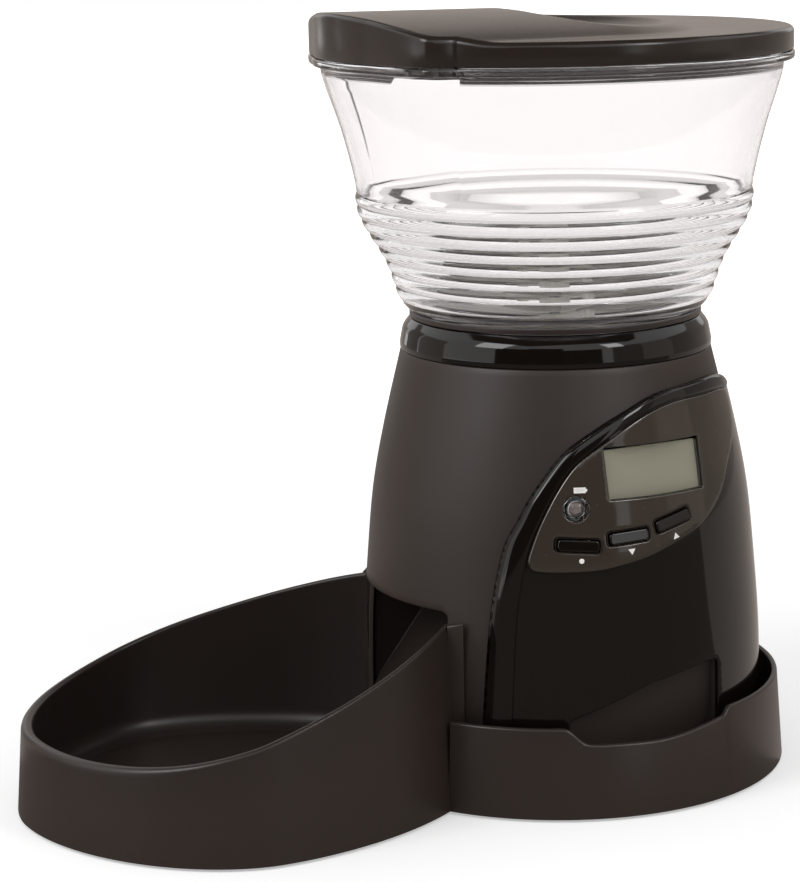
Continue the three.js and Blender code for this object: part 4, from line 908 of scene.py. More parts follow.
class FEEDER_OT_tray(bpy.types.Operator):
    """Make the tray, its bowl and its feet"""

    bl_idname = "feeder.tray"
    bl_label = "Tray"

    def bowl_wall(self, form):
        """The bowl's wall, whose rolled rim is wide at the tip and narrow at the tower."""
        rim = rim_height()
        fillet = sizes().bowl_fillet
        steps = 150
        rings = []
        for i in range(steps + 1):
            share = 2 * i / steps - 1
            ahead = max(0.0, math.cos(share * TAU / 4 * 1.25)) ** 1.5
            thick = TRAY_WALL + (BOWL_TIP_WALL - TRAY_WALL) * ahead
            roll = thick * 0.5
            # Each step: how far in over the wall's thickness, its fixed height or none, and how far it lies
            # from the rim.
            section = [(0.0, TRAY_LOW.z, 0), (0.0, None, -1.6 * roll)]
            for k in range(9):
                a = TAU / 2 * k / 8
                section.append(((1 - math.cos(a)) / 2, None, roll * 0.9 * (math.sin(a) - 1)))
            section.append((1.0, None, -1.6 * roll))
            ring = []
            for part, height, over in section:
                into = part * thick
                guess = height if height is not None else TRAY_HIGH.z
                t = share * bowl_end(into, guess, TOWER_CLEAR)
                if height is None:
                    height = rim(bowl_point(t, into, guess).y - AXIS_Y) + over
                    t = share * bowl_end(into, height, TOWER_CLEAR)
                ring.append(bowl_point(t, into, height))
            for across, up in quarter(8):
                into = thick + fillet * across
                height = TRAY_FLOOR + fillet * up
                ring.append(bowl_point(share * bowl_end(into, height, TOWER_CLEAR), into, height))
            into = thick + fillet
            ring.append(bowl_point(share * bowl_end(into, TRAY_LOW.z, TOWER_CLEAR), into, TRAY_LOW.z))
            rings.append(ring)
        form.loft(rings)

    def wall_ends(self, form):
        """The short flanges by which the bowl's walls lie against the tower."""
        rim = rim_height()
        inner = TOWER_CLEAR
        first, last = FLANGE_THICK
        steps = 12
        for side, reach in FLANGE_REACH.items():
            rings = []
            for i in range(steps + 1):
                angle = FLANGE_START + reach * i / steps
                thick = first + (last - first) * i / steps
                outer = inner + thick
                top = rim(-inner * math.cos(angle)) - 0.4 * MM
                shape = rounded([(inner, TRAY_LOW.z), (outer, TRAY_LOW.z), (outer, top), (inner, top)],
                                (0, 0, thick * 0.45, 0.2 * MM), steps=3)
                rings.append([polar(p.x, side * angle, p.y) for p in shape])
            form.loft(rings)

    def ring_wall(self, form):
        """The wall of the ring round the tower, with its rounded top and the finger notch."""
        notch = Profile(NOTCH)
        steps = 560
        half = TRAY_WALL / 2
        turns = [TAU / 2 * k / 6 for k in range(1, 6)]
        section = [(0, None), (0, -half)]
        section += [(half * (1 - math.cos(a)), half * (math.sin(a) - 1)) for a in turns]
        section += [(TRAY_WALL, -half), (TRAY_WALL, None)]
        rings = []
        for i in range(steps + 1):
            angle = RING_START + (TAU - 2 * RING_START) * i / steps
            along = RING_FOOT * math.sin(angle - PANEL_ANGLE)
            near = abs(angle - PANEL_ANGLE) < TAU / 4 and NOTCH[0][0] < along < NOTCH[-1][0]
            top = RING_TOP - (notch(along) if near else 0)
            ring = []
            for into, over in section:
                height = TRAY_LOW.z if over is None else top + over
                lean = RING_LEAN * (height - TRAY_LOW.z) / (RING_TOP - TRAY_LOW.z)
                ring.append(polar(RING_FOOT - lean - into, angle, height))
            rings.append(ring)
        form.loft(rings)

    def floor(self, form):
        """The floor under the ring and the bowl, and the low ring that finds the tower's foot."""
        end = bowl_end(0, TRAY_LOW.z, RING_FOOT - 1 * MM)
        corner = bowl_point(end, 0, TRAY_LOW.z)
        angle = math.atan2(corner.x, AXIS_Y - corner.y)
        inner = 1 * MM
        outline = [bowl_point(-end + 2 * end * i / 90, inner, TRAY_LOW.z).xy for i in range(91)]
        span = TAU - 2 * angle
        outline += [polar(RING_FOOT - inner, angle + span * i / 120, 0).xy for i in range(1, 120)]
        form.prism(outline, TRAY_LOW.z, TRAY_FLOOR, 0.1 * MM, Matrix.Identity(4))
        low, high = TOWER_CLEAR + 0.4 * MM, TOWER_CLEAR + 2.4 * MM
        foot, top = TRAY_FLOOR - 1 * MM, TRAY_FLOOR + 4 * MM
        section = rounded([(low, foot), (high, foot), (high, top), (low, top)], 0.5 * MM, steps=2)
        span = TAU - 2 * LOCATOR_START
        turns = [LOCATOR_START + span * i / 160 for i in range(161)]
        form.loft([[polar(p.x, turn, p.y) for p in section] for turn in turns])

    def execute(self, context):
        form = Form()
        self.bowl_wall(form)
        self.wall_ends(form)
        self.ring_wall(form)
        self.floor(form)
        form.piece("tray_with_bowl", "base", ("base_tray",), "satin_black", finish("tray"))
        for i in range(4):
            node = "foot_%d" % (i + 1)
            low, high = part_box(node)
            radius = (high.x - low.x) / 2
            profile = rounded([(0, 0), (radius, 0), (radius, high.z), (0, high.z)],
                              (0, 0.4 * MM, 0.2 * MM, 0), False)
            foot = Form()
            foot.turned(profile, 48, Matrix.Translation(((low.x + high.x) / 2, (low.y + high.y) / 2, 0)))
            foot.piece("rubber_foot_%d" % (i + 1), "base", (node,), "rubber", finish("rubber"), weighted=True)
        return {"FINISHED"}


def panel_outline():
    height = PANEL_TOP - PANEL_BOTTOM
    arch = smooth_through([(x * PANEL_REACH, PANEL_BOTTOM + y * height) for x, y in ARCH_SHARES], 6)
    foot = [(ARCH_SHARES[0][0] * PANEL_REACH, PANEL_BOTTOM), (ARCH_SHARES[-1][0] * PANEL_REACH, PANEL_BOTTOM)]
    return arch, rounded([foot[0], *arch, foot[1]], [8 * MM] + [0] * len(arch) + [8 * MM])


def leaf_outline():
    height = PANEL_TOP - PANEL_BOTTOM
    return smooth_through([(x * PANEL_REACH, PANEL_BOTTOM + y * height) for x, y in LEAF_SHARES], 6, True)


def frame_outline(matrix, outline):
    """A flat outline in a frame on the wall, as places on the panel's plane."""
    made = []
    for x, y in outline:
        p = matrix @ Vector((x, y, 0))
        made.append(Vector((p.x * math.cos(PANEL_ANGLE) + (p.y - AXIS_Y) * math.sin(PANEL_ANGLE), p.z)))
    return made


def box_outline(width, depth, corner, steps=4):
    x, y = width / 2, depth / 2
    return rounded([(-x, -y), (x, -y), (x, y), (-x, y)], corner, steps=steps)


def upright_box(half, bottom, top):
    return [(-half, bottom), (half, bottom), (half, top), (-half, top)]


def circle(radius, count=40):
    angles = [TAU * i / count for i in range(count)]
    return [Vector((radius * math.cos(a), radius * math.sin(a))) for a in angles]


def display_frame(stand=0.0):
    return wall_frame(DISPLAY_ANGLE, DISPLAY_HEIGHT, stand)


def lamp_frame(stand=0.0):
    return wall_frame(LAMP_ANGLE, LAMP_HEIGHT, stand)


def key_frame(key, stand=0.0):
    return wall_frame(math.radians(key[1]), key[2], stand, math.radians(key[3]))


def display_hole():
    return frame_outline(display_frame(PLATE_STAND), box_outline(*DISPLAY_SIZE, 0.8 * MM))


def lamp_hole():
    return frame_outline(lamp_frame(PLATE_STAND), circle(LAMP_RADIUS + 0.4 * MM))


class FEEDER_OT_shell(bpy.types.Operator):
    """Make the tower's shell with its grip pocket, and the battery door"""

    bl_idname = "feeder.shell"
    bl_label = "Tower shell"

    def wall(self, form):
        """The tower's wall with its openings, and its rounded ends."""
        edge = sizes().shell_edge
        unroll = FOOT_RADIUS
        low, high = SHELL_LOW.z, SHELL_HIGH.z
        # The wall is laid out flat from a seam on the far side.
        first, last = math.radians(-72), math.radians(288)
        place = lambda x, y, stand: polar(tower_radius(y) + stand, x / unroll, y)

        def flat(outline, facing):
            made = []
            for p in resampled(outline, 4 * MM):
                made.append(Vector(((facing + math.asin(p.x / tower_radius(p.y))) * unroll, p.y)))
            return made

        count = 200
        base = [Vector((unroll * (first + (last - first) * i / count), low + edge)) for i in range(count + 1)]
        rows = 70
        sides = [low + edge + (high - low - 2 * edge) * i / rows for i in range(1, rows)]
        outline = base + [Vector((base[-1].x, y)) for y in sides]
        outline += [Vector((p.x, high - edge)) for p in reversed(base)]
        outline += [Vector((base[0].x, y)) for y in reversed(sides)]
        opening = rounded(upright_box(SPOUT_HALF, SPOUT_BOTTOM, SPOUT_TOP), 4 * MM)
        grip = rounded(GRIP, 3 * MM)
        gap = 0.4 * MM
        door = rounded(upright_box(DOOR_HALF + gap, DOOR_BOTTOM - gap, DOOR_TOP + gap), 3 * MM)
        window = box_outline(DISPLAY_SIZE[0] + 4 * MM, DISPLAY_SIZE[1] + 4 * MM, 2.5 * MM)
        slot = box_outline(KEY_SIZE[0] + 1.6 * MM, KEY_SIZE[1] + 1.6 * MM, 2.4 * MM)
        behind = [frame_outline(display_frame(), window)]
        behind.append(frame_outline(lamp_frame(), circle(LAMP_RADIUS + 1 * MM)))
        behind += [frame_outline(key_frame(k), slot) for k in KEYS]
        holes = [flat(opening, 0), flat(grip, PANEL_ANGLE), flat(door, DOOR_ANGLE)]
        holes += [flat(hole, PANEL_ANGLE) for hole in behind]
        form.wall(place, outline, holes, 0.0, -WALL, edge, 3.1 * MM, rim=False)
        angles = [p.x / unroll for p in base]
        for level, sign in ((low, 1), (high, -1)):
            inner, far = tower_radius(level) - WALL, level + sign * edge
            rings = [(inner, far), (inner, level)]
            for up, into in quarter(3):
                height = level + sign * edge * up
                rings.append((tower_radius(height) - edge * into, height))
            made = [form.ring(polar(r, angle, z) for angle in angles) for r, z in rings]
            for a, b in zip(made, made[1:]):
                form.band(a, b, False)

    def pocket(self, form):
        """The pocket behind the grip's opening."""
        reach = FOOT_RADIUS - GRIP_DEPTH
        outline = wound(rounded(GRIP, 3 * MM), True)
        out = Vector((math.sin(PANEL_ANGLE), -math.cos(PANEL_ANGLE), 0))
        along = Vector((math.cos(PANEL_ANGLE), math.sin(PANEL_ANGLE), 0))

        def at(p, distance):
            return Vector((0, AXIS_Y, p.y)) + out * distance + along * p.x

        def at_wall(p, stand):
            radius = tower_radius(p.y) + stand
            return at(p, math.sqrt(radius ** 2 - p.x ** 2))

        fillet = 2.5 * MM
        outer = inset(outline, -WALL)
        rings = [[at(p, reach - WALL) for p in outer], [at_wall(p, -WALL * 0.7) for p in outer],
                 [at_wall(p, -0.8 * MM) for p in outline]]
        for into, above in quarter(3):
            rings.append([at(p, reach + fillet * above) for p in inset(outline, fillet * into)])
        form.loft(rings)

    def door(self, paint):
        form = Form()
        edge = 0.7 * MM
        place = lambda x, y, stand: on_panel(x, y, stand, DOOR_ANGLE)
        outline = rounded(upright_box(DOOR_HALF, DOOR_BOTTOM, DOOR_TOP), 2.6 * MM)
        form.wall(place, outline, [], 0.0, -WALL, edge, 2.8 * MM)
        top = DOOR_TOP - 5 * MM
        bar = box_outline(18 * MM, 4.6 * MM, 1.5 * MM)
        facing = wall_frame(DOOR_ANGLE, top - 2.5 * MM)
        form.prism(bar, -WALL, 1.35 * MM, 0.7 * MM, facing)
        form.piece("battery_cover_door", "door", ("battery_door",), "charcoal_shell", paint)

    def execute(self, context):
        paint = finish("shell")
        form = Form()
        self.wall(form)
        self.pocket(form)
        form.piece("tower_wall", "tower", ("tower_shell",), "charcoal_shell", paint)
        self.door(paint)
        return {"FINISHED"}


class FEEDER_OT_panel(bpy.types.Operator):
    """Make the control panel: its polished field, the raised band and the leaf plate"""

    bl_idname = "feeder.panel"
    bl_label = "Control panel"

    def field(self):
        arch, outline = panel_outline()
        form = Form()
        grip = rounded(GRIP, 3 * MM)
        slot = box_outline(KEY_SIZE[0] + 0.8 * MM, KEY_SIZE[1] + 0.8 * MM, 2 * MM)
        key_holes = [frame_outline(key_frame(k, PANEL_STAND), slot) for k in KEYS]
        holes = [grip, display_hole(), lamp_hole(), *key_holes]
        form.wall(on_panel, outline, holes, PANEL_STAND, SEAT_GAP, sizes().panel_edge, 2.4 * MM)
        form.piece("panel_field", "tower", ("control_panel",), "gloss_black", finish("gloss"))
        return arch

    def band(self, arch):
        """The raised band that follows the panel's arch down its left side."""
        height = PANEL_TOP - PANEL_BOTTOM
        foot = [Vector((x * PANEL_REACH, PANEL_BOTTOM + y * height)) for x, y in BAND_FOOT_SHARES]
        leaf = inset(wound(leaf_outline(), False), 0.6 * MM)
        lowest = min(range(len(leaf)), key=lambda i: leaf[i].x)
        turned_leaf = leaf[lowest:] + leaf[:lowest]
        far = max(range(len(turned_leaf)), key=lambda i: turned_leaf[i].x + 2 * turned_leaf[i].y)
        upper = turned_leaf[2:far + 1]
        inner = smooth_through(foot + upper[::6] + [upper[-1]], 6)
        outer = arch[:max(range(len(arch)), key=lambda i: arch[i].x - abs(arch[i].x - 72 * MM) * 3) + 1]
        count = 150
        inner, outer = evenly(inner, count), evenly(outer, count)
        rings = [[on_panel(*a.lerp(b, share), stand * MM) for share, stand in BAND_SECTION]
                 for a, b in zip(outer, inner)]
        form = Form()
        form.loft(rings)
        form.piece("panel_band", "tower", ("control_panel",), "gloss_black", finish("gloss"), sharp=50)

    def plate(self):
        form = Form()
        recess = box_outline(*KEY_RECESS, 2.2 * MM)
        recesses = [frame_outline(key_frame(k, PLATE_STAND), recess) for k in KEYS]
        holes = [display_hole(), lamp_hole(), *recesses]
        # The plate's rounded edge takes the second paint, a lighter metal that paints a bright highlight line
        # round the leaf.
        form.wall(on_panel, leaf_outline(), holes, PLATE_STAND, PANEL_STAND + SEAT_GAP, sizes().plate_edge,
                  2.0 * MM, edge_paint=1)
        form.piece("leaf_plate", "tower", ("control_plate",), "gloss_black", finish("plate"), finish("edge_highlight"),
                   sharp=60)

    def marks(self):
        """Plain printed marks: two triangles and a dot by the keys, and a small battery over the lamp."""
        small = 1.9 * MM
        triangle = [(-small, small * 0.8), (small, small * 0.8), (0, -small * 0.8)]
        shapes = [("mark_down", key_frame(KEYS[1]), (0, -7.2 * MM), 0, triangle),
                  ("mark_up", key_frame(KEYS[2]), (0, -7.4 * MM), 180, triangle),
                  ("mark_dot", key_frame(KEYS[0]), (0, -7.2 * MM), 0, circle(1.3 * MM, 24))]
        battery = [(-3, -1.4), (3, -1.4), (3, -0.6), (3.8, -0.6), (3.8, 0.6), (3, 0.6), (3, 1.4), (-3, 1.4)]
        shapes.append(("mark_battery", lamp_frame(), (0, 10 * MM), 0, [(x * MM, y * MM) for x, y in battery]))
        for name, matrix, offset, turn, outline in shapes:
            spin = Matrix.Rotation(math.radians(turn), 2)
            loop = [Vector(offset) + spin @ Vector(p) for p in outline]
            form = Form()
            front, back = PLATE_STAND + 0.05 * MM, PLATE_STAND - 0.1 * MM
            form.wall(on_panel, frame_outline(matrix, loop), [], front, back, 0.02 * MM, 0.8 * MM, steps=1)
            form.piece(name, "tower", (), "white_plastic", finish("mark"))

    def execute(self, context):
        self.band(self.field())
        self.plate()
        self.marks()
        return {"FINISHED"}


def evenly(points, count):
    """Points at even steps along a line of points."""
    lengths = [0.0]
    for a, b in zip(points, points[1:]):
        lengths.append(lengths[-1] + (b - a).length)
    made = []
    k = 0
    for i in range(count):
        want = lengths[-1] * i / (count - 1)
        while k < len(points) - 2 and lengths[k + 1] < want:
            k += 1
        t = (want - lengths[k]) / max(lengths[k + 1] - lengths[k], 1e-12)
        made.append(points[k].lerp(points[k + 1], min(t, 1)))
    return made


class FEEDER_OT_controls(bpy.types.Operator):
    """Make the display, the lamp and the three keys"""

    bl_idname = "feeder.controls"
    bl_label = "Display, lamp and keys"

    def display(self):
        width, depth = DISPLAY_SIZE
        bend = 94.5 * MM
        fall = bend - math.sqrt(bend ** 2 - (width / 2) ** 2)
        lens_top = 4 * MM - fall - 0.6 * MM
        outline = box_outline(width - 0.6 * MM, depth - 0.6 * MM, 0.6 * MM)
        form = Form()
        form.prism(outline, lens_top - 2 * MM, lens_top, 0.25 * MM, display_frame(), both=True)
        form.piece("display_window", "tower", ("display_lens",), "clear_lens", finish("window"),
                   weighted=True)
        form = Form()
        face = lens_top - 2.3 * MM
        form.prism(outline, face - 6 * MM, face, 0.2 * MM, display_frame())
        back = box_outline(width + 5.8 * MM, depth + 5.8 * MM, 1 * MM)
        form.prism(back, face - 8 * MM, face - 6 * MM, 0.3 * MM, display_frame(), paint=1)
        form.piece("display_glass", "tower", ("display_module",), "display", finish("display"),
                   finish("dark"), weighted=True)

    def lamp(self):
        bore = 4.2 * MM
        top = PLATE_STAND + 0.6 * MM
        profile = rounded([(bore, 0), (LAMP_RADIUS, 0), (LAMP_RADIUS, top - 0.5 * MM), (bore + 0.7 * MM, top),
                           (bore, top - 1.0 * MM)], 0.35 * MM)
        form = Form()
        form.turned(profile, 64, lamp_frame())
        form.piece("lamp_bezel", "tower", ("lamp_ring",), "steel", finish("lens"), sharp=50)
        low = 0.5 * MM
        radius = bore - SEAT_GAP
        dome = [(0, low), (radius, low)]
        for i in range(9):
            a = TAU / 4 * i / 8
            dome.append((radius * math.cos(a), low + 2.5 * MM + 1.6 * MM * math.sin(a)))
        form = Form()
        form.turned(dome, 48, lamp_frame())
        form.piece("lamp_dome", "tower", ("lamp_lens",), "lamp_lens", finish("lamp"), weighted=True)
        form = Form()
        form.turned(rounded([(0, -5.8 * MM), (2.5 * MM, -5.8 * MM), (2.5 * MM, 0.2 * MM), (0, 0.2 * MM)],
                            (0, 0.2 * MM, 0.6 * MM, 0), False), 32, lamp_frame())
        form.piece("lamp_die", "tower", ("lamp_led",), "white_plastic", finish("die"), weighted=True)

    def keys(self):
        for key in KEYS:
            form = Form()
            cap = box_outline(*KEY_SIZE, 2 * MM, 6)
            form.prism(cap, -1 * MM, 4.9 * MM, 0.9 * MM, key_frame(key), steps=5)
            name = key[0]
            body = name.split("_")[1] + "_key"
            form.piece("cap_" + name, body, (name,), "gloss_black", finish("gloss"), weighted=True)
            form = Form()
            outer = box_outline(KEY_RECESS[0] - 0.1 * MM, KEY_RECESS[1] - 0.1 * MM, 2.1 * MM, 6)
            inner = box_outline(KEY_RECESS[0] - 1.1 * MM, KEY_RECESS[1] - 1.1 * MM, 1.7 * MM, 6)
            frame_at = key_frame(key)
            stands = ((outer, 3.05 * MM), (outer, 4.1 * MM), (inner, 3.6 * MM), (inner, 3.05 * MM))
            rings = [[frame_at @ Vector((p.x, p.y, stand)) for p in loop] for loop, stand in stands]
            form.loft(rings, joined=True)
            form.piece("rim_" + name, "tower", (), "gloss_black", finish("plate"), sharp=25)

    def execute(self, context):
        self.display()
        self.lamp()
        self.keys()
        return {"FINISHED"}


class FEEDER_OT_neck(bpy.types.Operator):
    """Make the glossy collar and the dark ring that the hopper stands on"""

    bl_idname = "feeder.neck"
    bl_label = "Neck"

    def execute(self, context):
        base = COLLAR_HIGH.z - 16.2 * MM
        low = COLLAR_LOW.z
        foot = tower_radius(SHELL_HIGH.z) + 0.4 * MM
        skirt = tower_radius(SHELL_HIGH.z) - WALL - 0.6 * MM
        high = COLLAR_HIGH.z
        shoulder, brim, bore, spigot = 80.2 * MM, 76.2 * MM, 74.6 * MM, 72 * MM
        step = low + 2.7 * MM
        points = [(foot, base), (foot, base + 3 * MM), (shoulder, high - 5 * MM), (brim, high), (bore, high),
                  (bore, step), (spigot, step), (spigot, low), (skirt, low), (skirt, base)]
        radii = [0.6 * MM, 8 * MM, 9 * MM, 1.6 * MM] + [0.4 * MM] * 6
        form = Form()
        form.turned(rounded(points, radii, steps=6), 192)
        form.piece("gloss_collar", "tower", ("neck_collar",), "gloss_black", finish("gloss"), weighted=True)
        form = Form()
        inner, outer = 70 * MM, 76.5 * MM
        form.turned(rounded([(inner, NECK_LOW.z), (outer, NECK_LOW.z), (outer, NECK_HIGH.z),
                             (inner, NECK_HIGH.z)], 0.5 * MM), 160)
        form.piece("hopper_seat", "tower", ("neck_ring",), "satin_black", finish("tray"), weighted=True)
        return {"FINISHED"}


class FEEDER_OT_hopper(bpy.types.Operator):
    """Make the clear hopper with its ribs and flange"""

    bl_idname = "feeder.hopper"
    bl_label = "Hopper"

    def execute(self, context):
        s = sizes()
        low, high = HOPPER_TOP - HOPPER_HEIGHT, HOPPER_TOP
        outline = Profile([(a, HOPPER_FOOT + r * (MOUTH_RADIUS - HOPPER_FOOT)) for a, r, _ in HOPPER_SHARES])
        spread = Profile([(a, t) for a, _, t in HOPPER_SHARES])
        hard = [plan_radius(a) - LID_RADIUS for a in PLAN_ANGLES]
        soft = [max(0.0, plan_radius(a, 9) - LID_RADIUS) for a in PLAN_ANGLES]

        def ring(height, grow, share=None):
            at = (height - low) / HOPPER_HEIGHT if share is None else share
            base, turn = outline(at) + grow, min(max(spread(at), 0), 1)
            plan = soft if share is None else hard
            return [polar(base + turn * extra, a, height) for a, extra in zip(PLAN_ANGLES, plan)]

        def round_ring(radius, height):
            return [polar(radius, a, height) for a in PLAN_ANGLES]

        rib_low, rib_high = low + 6 * MM, low + 63 * MM
        pitch = (rib_high - rib_low) / s.ribs
        rings = [round_ring(75.4 * MM, low), round_ring(76.4 * MM, low + 0.5 * MM)]
        rings += [ring(low + h * MM, -0.5 * MM) for h in (2.6, 4.2)]
        for i in range(s.ribs):
            for k in range(10):
                t = k / 10
                lift = s.rib_rise * (math.sin(math.pi * t) ** 0.7 - 0.5)
                rings.append(ring(rib_low + (i + t) * pitch, lift - 0.2 * MM))
        plain_high = high - 5.2 * MM
        plain = [rib_high + (plain_high - rib_high) * k / 16 for k in range(17)]
        rings += [ring(z, -0.1 * MM) for z in plain]
        for out, up in HOPPER_ROLL:
            rings.append(ring(high - HOPPER_FLANGE + up * MM, out * MM, 1.0))
        rings.append(ring(high, -1.9 * MM, 1.0))
        rings.append(ring(high - 0.5 * MM, -2.5 * MM, 1.0))
        first, last = high - 4 * MM, low + 12 * MM
        rings += [ring(first - (first - last) * k / 22, -WALL) for k in range(23)]
        rings += [round_ring(radius * MM, low + up * MM) for radius, up in HOPPER_FLOOR]
        form = Form()
        form.loft(rings, joined=True)
        form.piece("clear_hopper", "hopper", ("hopper",), "clear_hopper", finish("hopper"), sharp=55)
        return {"FINISHED"}


class FEEDER_OT_lid(bpy.types.Operator):
    """Make the lid with its arch, its tongue and the finger dish"""

    bl_idname = "feeder.lid"
    bl_label = "Lid"

    def execute(self, context):
        s = sizes()
        ledge = LID_BOTTOM + LID_LEDGE
        radii = [plan_radius(a) for a in PLAN_ANGLES]

        def roof(x, y):
            back = y * y / (2 * BACK_RADIUS) if y > 0 else 1.5 * MM * y / LID_RADIUS
            rise = s.lid_rise - back - x * x / (2 * ARCH_RADIUS)
            return (rise + math.sqrt(rise * rise + (0.5 * MM) ** 2)) / 2 - 0.006 * MM

        def top(x, y, dish=0.0):
            z = ledge + roof(x, y)
            hollow = 1 - (x / (DISH_HALF[0] + dish)) ** 2 - ((y - DISH_CENTRE) / (DISH_HALF[1] + dish)) ** 2
            if hollow > 0:
                bottom = ledge + s.lid_rise - (s.dish_depth + dish) * math.sqrt(hollow)
                z = (z + bottom - math.sqrt((z - bottom) ** 2 + DISH_SOFT ** 2)) / 2
            return z

        def ring(inward, height_at, share=1):
            made = []
            for a, r in zip(PLAN_ANGLES, radii):
                x, y = share * (r - inward) * math.sin(a), -share * (r - inward) * math.cos(a)
                made.append(Vector((x, AXIS_Y + y, height_at(x, y))))
            return made

        edge = s.lid_edge
        low = LID_BOTTOM + 6 * MM
        skirt = [(0.9 * MM, low + 0.05 * MM), (0.3 * MM, low + 0.3 * MM), (0.05 * MM, low + 0.9 * MM)]
        rings = [ring(inward, lambda x, y, z=z: z) for inward, z in skirt]
        for into, below in quarter(6):
            inward = edge * into + 0.05 * MM
            rings.append(ring(inward, lambda x, y, drop=edge * below: ledge + roof(x, y) - drop))
        count = 130
        for k in range(1, count):
            rings.append(ring(edge, top, 1 - k / count))
        wall = WALL
        under_count = 30
        under = [ring(wall + 1 * MM, lambda x, y: top(x, y, wall) - wall, k / under_count)
                 for k in range(1, under_count + 1)]
        under.append(ring(wall, lambda x, y: ledge + roof(x, y) - 2 * wall))
        under.append(ring(wall, lambda x, y: low + 0.6 * MM))
        under.append(ring(wall - 0.6 * MM, lambda x, y: low + 0.05 * MM))
        form = Form()
        indices = [form.ring(r) for r in rings]
        peak = form.ring([Vector((0, AXIS_Y, top(0, 0)))])[0]
        for a, b in zip(indices, indices[1:]):
            form.band(a, b)
        last = indices[-1]
        for i in range(len(last)):
            form.face((last[i], last[(i + 1) % len(last)], peak))
        below = [form.ring(r) for r in under]
        pit = form.ring([Vector((0, AXIS_Y, top(0, 0, wall) - wall))])[0]
        for i in range(len(below[0])):
            form.face((pit, below[0][(i + 1) % len(last)], below[0][i]))
        for a, b in zip(below, below[1:]):
            form.band(a, b)
        form.band(below[-1], indices[0])
        lip = wall + LID_RADIUS - MOUTH_RADIUS + 1.2 * MM
        lip_inner, lip_top = lip + 2 * MM, ledge - 1.3 * MM
        shape = ((lip + 0.4 * MM, LID_BOTTOM), (lip, LID_BOTTOM + 0.5 * MM), (lip, lip_top),
                 (lip_inner, lip_top), (lip_inner, LID_BOTTOM + 0.4 * MM), (lip + 1.6 * MM, LID_BOTTOM))
        form.loft([ring(inward, lambda x, y, z=z: z) for inward, z in shape], joined=True)
        form.piece("hopper_lid", "lid", ("lid",), "lid_black", finish("lid"), sharp=50)
        return {"FINISHED"}


def rod_frame(x, y, z):
    return Matrix.Translation((x, y, z))


class FEEDER_OT_works(bpy.types.Operator):
    """Make the portion wheel, the agitator, the drive, the cells and the other inner parts"""

    bl_idname = "feeder.works"
    bl_label = "Inner parts"

    def agitator(self):
        low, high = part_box("agitator")
        form = Form()
        bore, hub, crown = 3.4 * MM, 8 * MM, 6 * MM
        profile = [(bore, low.z), (hub, low.z), (hub, high.z - 1 * MM), (crown, high.z), (0, high.z)]
        form.turned(rounded(profile, (0.3 * MM, 0.8 * MM, 1.2 * MM, 2 * MM, 0), False), 48)
        reach = (high.x - low.x) / 2
        arm = box_outline(2 * reach, 6 * MM, 2.6 * MM, 5)
        form.prism(arm, low.z, low.z + 5 * MM, 1.5 * MM, rod_frame(0, AXIS_Y, 0), steps=4, both=True)
        for side in (-1, 1):
            finger = box_outline(5.6 * MM, 5.6 * MM, 1.8 * MM, 4)
            at = rod_frame(side * (reach - 3 * MM), AXIS_Y, 0)
            form.prism(finger, low.z + 1 * MM, low.z + 12 * MM, 1.6 * MM, at, steps=4)
        form.piece("agitator_arm", "drive", ("agitator",), "white_plastic", finish("white"), weighted=True)

    def cells(self):
        for i in range(3):
            node = "cell_%d" % (i + 1)
            low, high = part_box(node)
            centre = (low + high) / 2
            radius = 16.6 * MM
            top = high.z - 1.2 * MM
            profile = [(0, low.z), (radius - 2 * MM, low.z), (radius, low.z + 0.6 * MM),
                       (radius, top - 1.2 * MM), (radius - 1.4 * MM, top), (4.2 * MM, top), (4 * MM, high.z),
                       (0, high.z)]
            corners = [size * MM for size in (0, 0.8, 0.6, 1, 0.8, 0.3, 0.6, 0)]
            form = Form()
            form.turned(rounded(profile, corners, False), 64, rod_frame(centre.x, centre.y, 0))
            form.piece("battery_%d" % (i + 1), "tower", (node,), "cell_jacket", finish("jacket"),
                       weighted=True)

    def execute(self, context):
        self.agitator()
        self.cells()
        plain = {
            "tower": (("metering_deck", "white_plastic", "white"),
                      ("outlet_baffle", "white_plastic", "white"), ("food_duct", "dark_plastic", "dark"),
                      ("outlet_spout", "satin_black", "tray"),
                      ("bottom_cover", "dark_plastic", "dark"), ("circuit_board", "circuit_board", "board"),
                      ("keypad_mat", "rubber", "rubber"), ("gearbox_case", "dark_plastic", "dark"),
                      ("gearbox_cover", "dark_plastic", "dark"), ("idler_pin", "steel", "steel"),
                      ("drive_motor", "nickel", "nickel"), ("battery_holder", "dark_plastic", "dark"),
                      *[("cover_screw_%d" % (i + 1), "steel", "steel") for i in range(4)],
                      *[("spring_contact_%d" % (i + 1), "nickel", "nickel") for i in range(3)],
                      *[("top_contact_%d" % (i + 1), "nickel", "nickel") for i in range(3)]),
            "drive": (("drive_shaft", "steel", "steel"), ("output_gear", "nylon", "nylon"),
                      ("portion_wheel", "white_plastic", "white")),
            "idler": (("idler_gear", "nylon", "nylon"),),
            "pinion": (("motor_pinion", "nylon", "nylon"),),
        }
        for body, nodes in plain.items():
            for node, slot, paint in nodes:
                machined(node, body, finish(paint))
        return {"FINISHED"}


def square(half, height):
    return [(-half, -half, height), (half, -half, height), (half, half, height), (-half, half, height)]


